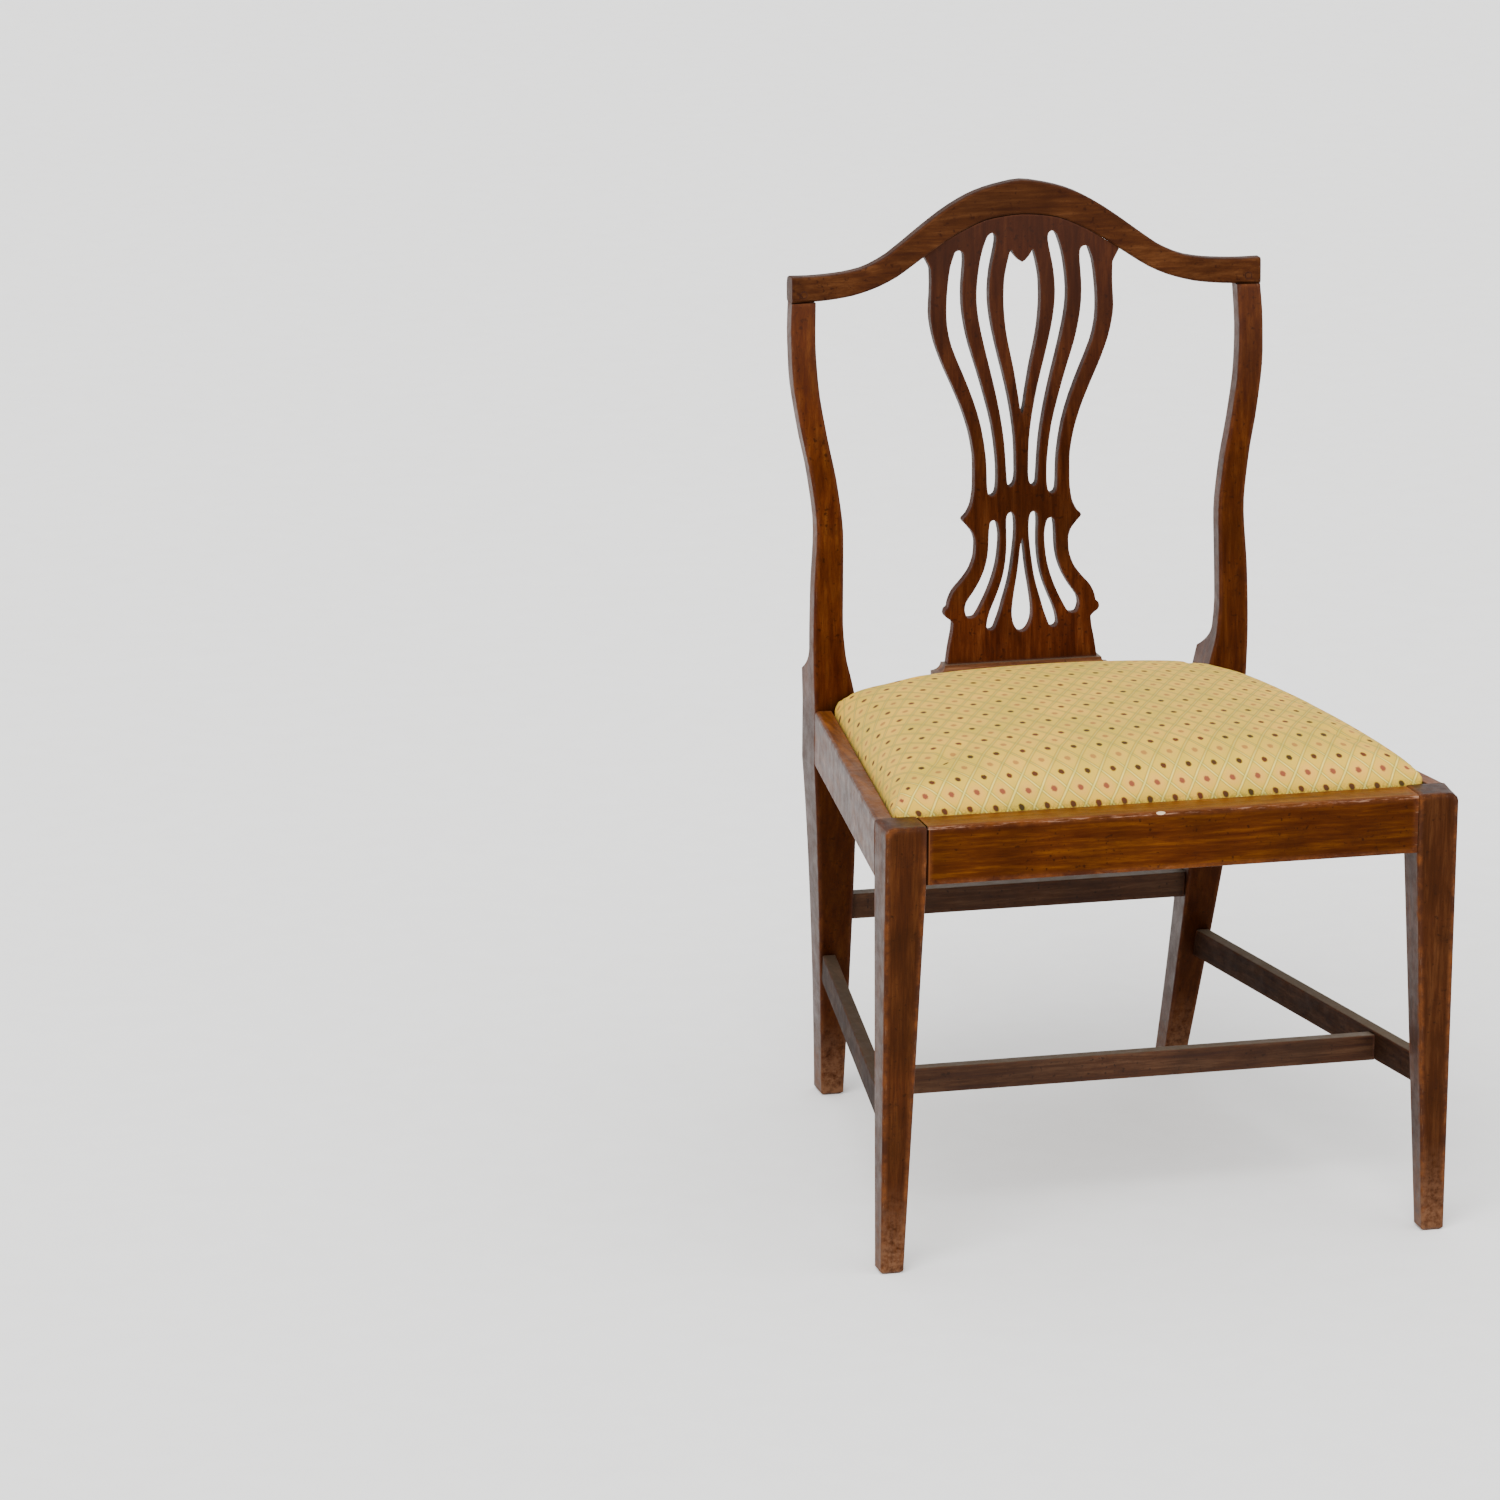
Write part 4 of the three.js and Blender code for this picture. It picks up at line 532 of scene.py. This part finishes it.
def silk_damask(name):
    """A worn silk and cotton damask on a straw ground: a trellis of slanting lines, each diamond
    with a brown or a rose spot at its middle, and a rose blush round the rose ones."""
    material, tree, where = start_material(name)
    cloth = add(tree, "UVMap", {}, uv_map="cloth")

    # The diamonds: slanting coordinates are whole numbers at the spots and halves at the lines
    wander = add(tree, "TexNoise", {"Vector": where, "Scale": 1 / (60 * MM), "Detail": 2.0}, out="Color")
    off = add(tree, "VectorMath", {0: wander, 1: (0.5, 0.5, 0.5)}, operation="SUBTRACT")
    pulled = add(tree, "VectorMath", {0: off, 1: (0.12, 0.12, 0.0), 2: cloth},
                 operation="MULTIPLY_ADD")
    parts = add(tree, "SeparateXYZ", {"Vector": pulled}).node
    slants, cells = [], []
    for way in ("ADD", "SUBTRACT"):
        slant = add(tree, "Math", {0: parts.outputs["X"], 1: parts.outputs["Y"]}, operation=way)
        cell = add(tree, "Math", {0: slant}, operation="ROUND")
        slants.append(add(tree, "Math", {0: slant, 1: cell}, operation="SUBTRACT"))
        cells.append(cell)
    both = add(tree, "Math", {0: cells[0], 1: cells[1]}, operation="ADD")
    rose = add(tree, "Math", {0: both, 1: 2.0}, operation="FLOORED_MODULO")

    def from_spot(across, deep):
        """Distance from the spot as a share of an oval of these half widths in millimetres."""
        x = add(tree, "Math", {0: slants[0], 1: slants[1]}, operation="ADD")
        y = add(tree, "Math", {0: slants[0], 1: slants[1]}, operation="SUBTRACT")
        oval = add(tree, "CombineXYZ", {
            "X": add(tree, "Math", {0: x, 1: REPEAT_ACROSS / 2 / across}, operation="MULTIPLY"),
            "Y": add(tree, "Math", {0: y, 1: REPEAT_DEEP / 2 / deep}, operation="MULTIPLY"),
        })
        return add(tree, "VectorMath", {0: oval}, operation="LENGTH", out="Value")

    threads = add(tree, "TexNoise", {"Vector": where, "Scale": 1 / (1.6 * MM), "Detail": 3.0})
    frayed = add(tree, "MapRange", {"Value": threads, "To Min": -0.3, "To Max": 0.3})
    round_spot = add(tree, "Math", {0: from_spot(3.1, 3.5), 1: frayed}, operation="ADD")
    spot = add(tree, "MapRange", {"Value": round_spot, "From Min": 1.1, "From Max": 0.7})
    round_blush = add(tree, "Math", {0: from_spot(8.5, 10.0), 1: frayed}, operation="ADD")
    blush = add(tree, "MapRange", {"Value": round_blush, "From Min": 1.2, "From Max": 0.3,
                                   "To Max": 0.4})

    # The rose and the cream have kept their colour only along the front edge
    unfaded = add(tree, "MapRange", {"Value": parts.outputs["Y"], "From Min": 0.7, "From Max": 1.4,
                                     "To Min": 1.0, "To Max": 0.4})

    # Ground: straw, faded in clouds towards green and towards buff
    fade = add(tree, "TexNoise", {"Vector": where, "Scale": 1 / (45 * MM), "Detail": 3.0})
    ground = add(tree, "ValToRGB", {"Fac": fade}).node
    ground.color_ramp.elements[0].position = 0.3
    ground.color_ramp.elements[0].color = linear("#bb9e33")
    ground.color_ramp.elements[1].position = 0.72
    ground.color_ramp.elements[1].color = linear("#d6a835")
    colour = ground.outputs[0]

    # Lines: an olive band about 3 mm wide with a cream thread, half as wide, down its middle
    for slant, strength in zip(slants, (0.7, 0.62)):
        to_line = add(tree, "Math", {0: slant}, operation="ABSOLUTE")
        band = add(tree, "MapRange", {"Value": to_line, "From Min": 0.395, "From Max": 0.445,
                                      "To Max": strength})
        colour = add(tree, "MixRGB", {"Fac": band, "Color1": colour, "Color2": linear("#7c672a")})
        thread = add(tree, "MapRange", {"Value": to_line, "From Min": 0.44, "From Max": 0.485,
                                        "To Max": 0.7})
        fresh = add(tree, "Math", {0: thread, 1: unfaded}, operation="MULTIPLY")
        colour = add(tree, "MixRGB", {"Fac": fresh, "Color1": colour,
                                      "Color2": linear("#ebd56a")})
    crossing = add(tree, "Math", {
        0: add(tree, "Math", {0: slants[0]}, operation="ABSOLUTE"),
        1: add(tree, "Math", {0: slants[1]}, operation="ABSOLUTE"),
    }, operation="ADD")
    green = add(tree, "MapRange", {"Value": crossing, "From Min": 0.6, "From Max": 0.95,
                                   "To Max": 0.2})
    colour = add(tree, "MixRGB", {"Fac": green, "Color1": colour, "Color2": linear("#93943a")})
    kept = add(tree, "Math", {0: blush, 1: unfaded}, operation="MULTIPLY")
    rosy = add(tree, "Math", {0: kept, 1: rose}, operation="MULTIPLY")
    colour = add(tree, "MixRGB", {"Fac": rosy, "Color1": colour, "Color2": linear("#dc9450")})
    drift = add(tree, "MapRange", {"Value": fade, "From Min": 0.4, "From Max": 0.6,
                                   "To Max": 0.75})
    brown = add(tree, "MixRGB", {"Fac": drift, "Color1": linear("#3a2a16"),
                                 "Color2": linear("#5e2c1e")})
    dye = add(tree, "MixRGB", {"Fac": rose, "Color1": brown, "Color2": linear("#80452f")})
    faded = add(tree, "Math", {0: 1.0, 1: unfaded}, operation="SUBTRACT")
    rose_faded = add(tree, "Math", {0: faded, 1: rose}, operation="MULTIPLY")
    lost = add(tree, "Math", {0: rose_faded, 1: 0.6}, operation="MULTIPLY")
    seen = add(tree, "Math", {0: 1.0, 1: lost}, operation="SUBTRACT")
    shown = add(tree, "Math", {0: spot, 1: seen}, operation="MULTIPLY")
    colour = add(tree, "MixRGB", {"Fac": shown, "Color1": colour, "Color2": dye})

    # Grime and painted shade where the cloth dips behind the rails: none 6 mm above their tops, and most 1
    # mm below
    spread = add(tree, "SeparateXYZ", {"Vector": where}).node
    level = add(tree, "Math", {0: spread.outputs["Y"], 1: SEAT_FALL, 2: spread.outputs["Z"]},
                operation="MULTIPLY_ADD")
    rail_top = SEAT_TOP * MM + SEAT_FALL * Y_OF_FRONT
    low = add(tree, "MapRange", {"Value": level, "From Min": rail_top + 6 * MM,
                                 "From Max": rail_top - 1 * MM, "To Max": 0.55})
    fuzz = add(tree, "MapRange", {"Value": threads, "From Min": 0.35, "From Max": 0.6})
    grime_and_shade = add(tree, "Math", {0: low, 1: fuzz}, operation="MULTIPLY")
    colour = add(tree, "MixRGB", {"Fac": grime_and_shade, "Color1": colour, "Color2": linear("#3c361c")})

    # Weave: warp and weft in relief
    weave = []
    for way, repeat in (("X", REPEAT_ACROSS), ("Y", REPEAT_DEEP)):
        per_repeat = repeat / THREAD_DRAWN * 2 * math.pi
        run = add(tree, "Math", {0: parts.outputs[way], 1: per_repeat}, operation="MULTIPLY")
        weave.append(add(tree, "Math", {0: run}, operation="SINE"))
    crossed = add(tree, "Math", {0: weave[0], 1: weave[1]}, operation="MULTIPLY")
    uneven = add(tree, "Math", {0: threads, 1: 1.5, 2: crossed}, operation="MULTIPLY_ADD")
    bump = add(tree, "Bump", {"Height": uneven, "Strength": 0.5, "Distance": 0.12 * MM})
    shader = add(tree, "BsdfPrincipled", {
        "Base Color": colour, "Roughness": 0.72, "Normal": bump, "IOR": 1.46,
        "Specular IOR Level": 0.15, "Specular Tint": linear("#ffd9a0"), "Sheen Weight": 0.06,
        "Sheen Roughness": 0.5, "Sheen Tint": linear("#ffd9a0"),
    })
    return finish_material(material, tree, shader)


def seat_half(y, inset):
    """Half the width of the loose seat at a depth, drawn in by an inset."""
    share = max((y - LEG) / (SEAT_DEPTH - LEG), 0)
    return FRONT_HALF + (BACK_HALF - FRONT_HALF) * share - STRIP_SIDE - SEAT_CLEARANCE - inset


def cushion_height(x, y):
    """Height of the cloth over a point in plan: a steep rim, sinking at the corners, under a crown."""
    half = seat_half(y, 0)
    in_x = max(half - abs(x), 0)
    in_y = max(min(y - SEAT_FRONT, SEAT_BACK - y), 0)
    inside = in_x * in_y / max(math.hypot(in_x, in_y), 0.3)
    rim = RIM_HEIGHT * (1 - math.exp(-inside / RIM_SOFTNESS))
    across = max(1 - (x / half) ** 2, 0)
    along = max(1 - ((y - SEAT_MIDDLE) / (SEAT_MIDDLE - SEAT_FRONT)) ** 2, 0)
    return SEAT_TOP + rim + CROWN_HEIGHT * math.sqrt(across * along)


def seat_ring(inset, per_side, per_corner):
    """The seat's outline in plan with rounded corners, drawn in by an inset; each point comes with
    its outward direction."""
    radius = max(CORNER_RADIUS - inset, 2)
    half, front, back = seat_half(SEAT_FRONT, inset), SEAT_FRONT + inset, SEAT_BACK - inset
    ring = []
    for x, y, start in ((-half, front, 180), (half, front, 270), (half, back, 0), (-half, back, 90)):
        centre_x, centre_y = x - math.copysign(radius, x), y + (radius if y == front else -radius)
        for step in range(per_corner + 1):
            angle = math.radians(start + 90 * step / per_corner)
            out = (math.cos(angle), math.sin(angle))
            ring.append((centre_x + radius * out[0], centre_y + radius * out[1], out))
    full = []
    for i, (x, y, out) in enumerate(ring):
        full.append((x, y, out))
        if i % (per_corner + 1) == per_corner:
            next_x, next_y, _ = ring[(i + 1) % len(ring)]
            full += [(x + (next_x - x) * k / per_side, y + (next_y - y) * k / per_side, out)
                     for k in range(1, per_side)]
    return [(x * seat_half(y, inset) / half, y, out) for x, y, out in full]


def cloth_lengths():
    """How many repeats of the pattern a point of the seat lies from its middle line and its front edge."""
    xs = np.arange(0, MEASURE_HALF, MEASURE_STEP)
    ys = np.arange(SEAT_FRONT, SEAT_BACK + 0.1, MEASURE_STEP)
    z = np.array([[cushion_height(x, y) for x in xs] for y in ys])
    over_x = np.concatenate([np.zeros((len(ys), 1)),
                             np.cumsum(np.hypot(np.diff(xs), np.diff(z, axis=1)), axis=1)], axis=1)
    over_y = np.concatenate([np.zeros((1, len(xs))),
                             np.cumsum(np.hypot(np.diff(ys)[:, None], np.diff(z, axis=0)), axis=0)], axis=0)

    def look(table, x, y):
        """The table's value at a point, between its four nearest entries."""
        i = min(max((y - ys[0]) / MEASURE_STEP, 0), len(ys) - 1.001)
        j = min(abs(x) / MEASURE_STEP, len(xs) - 1.001)
        i0, j0, fi, fj = int(i), int(j), i % 1, j % 1
        return (table[i0, j0] * (1 - fi) * (1 - fj) + table[i0 + 1, j0] * fi * (1 - fj)
                + table[i0, j0 + 1] * (1 - fi) * fj + table[i0 + 1, j0 + 1] * fi * fj)

    def lengths(x, y):
        """Repeats across and repeats deep, with the rows spread and the front drawn sideways."""
        deep = look(over_y, x, y) + min(y - SEAT_FRONT, 0) - FIRST_ROW
        aside = PULL_AT_FRONT * math.exp(-max(deep, PULL_STARTS) / PULL_FADES)
        across = math.copysign(look(over_x, x, y), x) + OFF_MIDDLE - aside
        rows = (math.sqrt(max(ROW_AT_FRONT ** 2 + 4 * ROW_GAIN * deep, 0)) - ROW_AT_FRONT) / (2 * ROW_GAIN)
        return across / REPEAT_ACROSS, rows / 2
    return lengths


def mesh_piece(name, points, faces, material, body):
    """A named piece from points in millimetres of the chair."""
    mesh = bpy.data.meshes.new(name)
    mesh.from_pydata([place(*point) for point in points], [], faces)
    mesh.materials.append(material)
    mesh.shade_smooth()
    return put_in(name, mesh, body)


def ring_faces(rings, sides):
    """Four-sided faces between rings of points."""
    faces = []
    for ring in range(rings - 1):
        this, after = ring * sides, (ring + 1) * sides
        for k in range(sides):
            faces.append((this + k, after + k, after + (k + 1) % sides, this + (k + 1) % sides))
    return faces


def settle(piece, held):
    """Lets the cloth take its own tight shape over the stuffing, then holds each point within reach of
    its place."""
    start = np.array([v.co for v in piece.data.vertices])
    group = piece.vertex_groups.new(name="tacked")
    group.add(held, 1.0, "REPLACE")
    cloth = piece.modifiers.new("cloth", "CLOTH")
    settings = cloth.settings
    settings.quality = 6
    settings.mass = 0.3
    settings.tension_stiffness = settings.compression_stiffness = 30
    settings.shear_stiffness = 12
    settings.bending_stiffness = 4
    settings.vertex_group_mass = "tacked"
    settings.use_pressure = True
    settings.uniform_pressure_force = CLOTH_PRESSURE
    settings.effector_weights.gravity = 0
    cloth.point_cache.frame_start, cloth.point_cache.frame_end = 1, SETTLING_FRAMES
    scene = bpy.context.scene
    for frame_number in range(1, SETTLING_FRAMES + 1):
        scene.frame_set(frame_number)
    shaped = piece.evaluated_get(bpy.context.evaluated_depsgraph_get())
    moved = np.array([v.co for v in shaped.data.vertices]) - start
    piece.modifiers.remove(cloth)
    piece.vertex_groups.remove(group)
    scene.frame_set(1)
    reach = np.linalg.norm(moved, axis=1, keepdims=True)
    moved *= np.minimum(reach, CLOTH_REACH * MM) / np.maximum(reach, 1e-9)
    piece.data.vertices.foreach_set("co", (start + moved).ravel())
    piece.data.update()


def seat_cushion():
    """The damask drawn over the stuffing, down behind the rails and round to its tacked flap."""
    per_side, per_corner = 54, 6
    sides = 4 * (per_side + per_corner)
    lengths = cloth_lengths()
    points, cloth = [], []

    def ring(inset, level, drop, shrink=1.0):
        """A ring of the cloth: on the cushion's top, or at a level of its side with the cloth's drop."""
        for x, y, out in seat_ring(inset, per_side, per_corner):
            x, y = x * shrink, SEAT_MIDDLE + (y - SEAT_MIDDLE) * shrink
            z = cushion_height(x, y) if level is None else level
            points.append((x, y, z - SEAT_FALL * y))
            u, v = lengths(x, y)
            cloth.append((u + out[0] * drop / REPEAT_ACROSS, v + out[1] * drop / REPEAT_DEEP))
    for share in CROWN_SHARES:
        ring(CROWN_INSET, None, 0, share)
    for inset in RIM_INSETS:
        ring(inset, None, 0)
    free = len(points)  # the points of the side and the flap are held, these aren't
    for level in SIDE_LEVELS:
        ring(0, level, SEAT_TOP - level)
    side = SEAT_TOP - HEM_LEVEL
    for inset in HEM_INSETS:
        ring(inset, HEM_LEVEL + max(0.6 * (HEM_TURN - inset), 0), side + inset)
    rings = len(points) // sides
    faces = ring_faces(rings, sides)
    points.append((0, SEAT_MIDDLE, cushion_height(0, SEAT_MIDDLE) - SEAT_FALL * SEAT_MIDDLE))
    cloth.append(lengths(0, SEAT_MIDDLE))
    faces += [(len(points) - 1, k, (k + 1) % sides) for k in range(sides)]
    piece = mesh_piece("seat_cushion", points, faces, DAMASK, "seat")
    layer = piece.data.uv_layers.new(name="cloth")
    for loop in piece.data.loops:
        layer.data[loop.index].uv = cloth[loop.vertex_index]
    settle(piece, held=list(range(free, rings * sides)))
    thick = piece.modifiers.new("cloth thickness", "SOLIDIFY")
    thick.thickness = CLOTH_THICKNESS * MM
    thick.offset = -1
    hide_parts("seat_cover")


def seat_padding():
    """The horsehair pad under the cloth: crowned above, flat on the hessian."""
    per_side, per_corner = 24, 3
    sides = 4 * (per_side + per_corner)
    points = []
    for share in PAD_SHARES:
        for x, y, _ in seat_ring(CROWN_INSET, per_side, per_corner):
            x, y = x * share, SEAT_MIDDLE + (y - SEAT_MIDDLE) * share
            points.append((x, y, cushion_height(x, y) - PAD_DEPTH - SEAT_FALL * y))
    for inset in PAD_INSETS:
        for (x, y, _), (under_x, under_y, _) in zip(seat_ring(inset, per_side, per_corner),
                                                    seat_ring(inset + PAD_DEPTH, per_side, per_corner)):
            level = max(cushion_height(x, y) - PAD_DEPTH, PAD_BASE + 1)
            points.append((under_x, under_y, level - SEAT_FALL * y))
    for x, y, _ in seat_ring(PAD_INSETS[-1] + PAD_DEPTH, per_side, per_corner):
        points.append((x, y, PAD_BASE - SEAT_FALL * y))
    rings = len(points) // sides
    faces = ring_faces(rings, sides)
    faces += [tuple(reversed(range(sides))), tuple(range((rings - 1) * sides, rings * sides))]
    piece = mesh_piece("seat_padding", points, faces, HORSEHAIR, "seat")
    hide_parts("seat_stuffing")


def lay_threads(piece, across, along):
    """Lays the cloth's threads along a strip or sheet, in metres from its middle."""
    layer = piece.data.uv_layers.new(name="threads")
    for loop in piece.data.loops:
        layer.data[loop.index].uv = (across[loop.vertex_index] * MM, along[loop.vertex_index] * MM)


def web_strip(name, node, start, end, crossings, first_side, where):
    """One strip of webbing, drawn tight over the frame and woven over and under those it crosses."""
    stations = np.linspace(start, end, num=97)
    widths = np.linspace(-WEB_WIDTH / 2, WEB_WIDTH / 2, num=9)
    points, across, along = [], [], []
    for run in stations:
        lift = 0.0
        for i, middle in enumerate(crossings):
            near = max(1 - abs(run - middle) / (WEB_WIDTH / 2 + WEB_EASE), 0)
            lift += (-first_side if i % 2 else first_side) * min(WEB_RISE * near, 1.0)
        for wide in widths:
            x, y = where(run, wide)
            points.append((x, y, WEB_LEVEL + WEB_LIFT * lift - SEAT_FALL * y))
            across.append(wide)
            along.append(run)
    row = len(widths)
    faces = [(r * row + k, r * row + k + 1, (r + 1) * row + k + 1, (r + 1) * row + k)
             for r in range(len(stations) - 1) for k in range(row - 1)]
    piece = mesh_piece(name, points, faces, WEBBING, "seat")
    lay_threads(piece, across, along)
    thick = piece.modifiers.new("web thickness", "SOLIDIFY")
    thick.thickness = WEB_THICKNESS * MM
    thick.offset = 0
    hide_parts(node)
    return piece


def seat_webbing():
    """Five strips from front to back and three from side to side, in a plain weave."""
    edge_front, edge_back = SEAT_FRONT + FRAME_INSET, SEAT_BACK - FRAME_INSET
    open_front, open_back = edge_front + SEAT_FRAME_FRONT, edge_back - SEAT_FRAME_BACK
    columns = [WEB_PITCH * (i - 2) for i in range(5)]
    row_pitch = WEB_ROW_SHARE * (open_back - open_front)
    rows = [(open_front + open_back) / 2 + row_pitch * (j - 1) for j in range(3)]
    made = []
    for i, x in enumerate(columns):
        name = "webbing_front_to_back_%d" % (i + 1)
        made.append(web_strip("linen_" + name, name, edge_front + WEB_END, edge_back - WEB_END, rows,
                              -1 if i % 2 else 1, lambda run, wide, x=x: (x + wide, run)))
    for j, y in enumerate(rows):
        name = "webbing_side_to_side_%d" % (j + 1)
        reach = seat_half(y + WEB_WIDTH / 2, FRAME_INSET) - WEB_END
        made.append(web_strip("linen_" + name, name, -reach, reach, columns, 1 if j % 2 else -1,
                              lambda run, wide, y=y: (run, y + wide)))
    return made


def seat_hessian(strips):
    """The jute cloth tacked flat over the webbing."""
    outer = seat_ring(FRAME_INSET + HESSIAN_INSET, per_side=20, per_corner=2)
    points, across, along = [], [], []
    for share in HESSIAN_SHARES:
        for x, y, _ in outer:
            x, y = x * share, SEAT_MIDDLE + (y - SEAT_MIDDLE) * share
            points.append((x, y, HESSIAN_LEVEL - SEAT_FALL * y))
            across.append(x)
            along.append(y)
    faces = ring_faces(len(HESSIAN_SHARES), len(outer)) + [tuple(reversed(range(len(outer))))]
    piece = mesh_piece("jute_hessian_sheet", points, faces, HESSIAN, "seat")
    lay_threads(piece, across, along)
    thick = piece.modifiers.new("cloth thickness", "SOLIDIFY")
    thick.thickness = HESSIAN_THICKNESS * MM
    thick.offset = 0
    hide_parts("seat_hessian")
    width = (max(p[0] for p in points) - min(p[0] for p in points)) * MM
    depth = (max(p[1] for p in points) - min(p[1] for p in points)) * MM


DAMASK = silk_damask("silk_damask_woven")
seat_cushion()
seat_padding()
seat_hessian(seat_webbing())


def studio():
    """A pale floor, a white room and two broad lamps, and the camera at the photograph's angle."""
    bpy.ops.mesh.primitive_plane_add(size=80)
    floor = bpy.context.object
    floor.name = "floor"
    material, tree, where = start_material("white_paper_floor")
    fibre = add(tree, "TexNoise", {"Vector": where, "Scale": 1 / (40 * MM), "Detail": 3.0})
    tint = add(tree, "ValToRGB", {"Fac": fibre}).node
    tint.color_ramp.elements[0].color = linear("#efeeec")
    tint.color_ramp.elements[1].color = linear("#f5f5f4")
    paper = add(tree, "BsdfPrincipled", {"Base Color": tint.outputs[0], "Roughness": 0.9,
                                         "Specular IOR Level": 0.2})
    floor.data.materials.append(finish_material(material, tree, paper))

    world = bpy.data.worlds.new("white_room")
    world.use_nodes = True
    world.node_tree.nodes["Background"].inputs["Color"].default_value = linear("#ffffff")
    world.node_tree.nodes["Background"].inputs["Strength"].default_value = 1.25
    bpy.context.scene.world = world
    for name, strength, angle, turn in (
        ("key", 3.8, 50, (math.radians(48), 0, math.radians(-32))),
        ("fill", 1.3, 80, (math.radians(62), 0, math.radians(40))),
    ):
        lamp = bpy.data.objects.new(name, bpy.data.lights.new(name, "SUN"))
        lamp.data.energy = strength
        lamp.data.angle = math.radians(angle)
        lamp.rotation_euler = turn
        bpy.context.scene.collection.objects.link(lamp)

    lens = bpy.data.cameras.new("camera")
    lens.sensor_width = SENSOR_WIDTH
    lens.lens = SENSOR_WIDTH * FOCAL_LENGTH / PHOTO_WIDTH
    lens.shift_x = (PHOTO_WIDTH / 2 - OPTICAL_CENTRE[0]) / PHOTO_WIDTH
    lens.shift_y = (OPTICAL_CENTRE[1] - PHOTO_WIDTH / 2) / PHOTO_WIDTH
    lens.clip_end = 200
    camera = bpy.data.objects.new("camera", lens)
    turned = Matrix((CAMERA_RIGHT, CAMERA_UP, CAMERA_BACK)).transposed().to_4x4()
    camera.matrix_world = Matrix.Translation(CAMERA_PLACE) @ turned
    bpy.context.scene.collection.objects.link(camera)
    bpy.context.scene.camera = camera


studio()
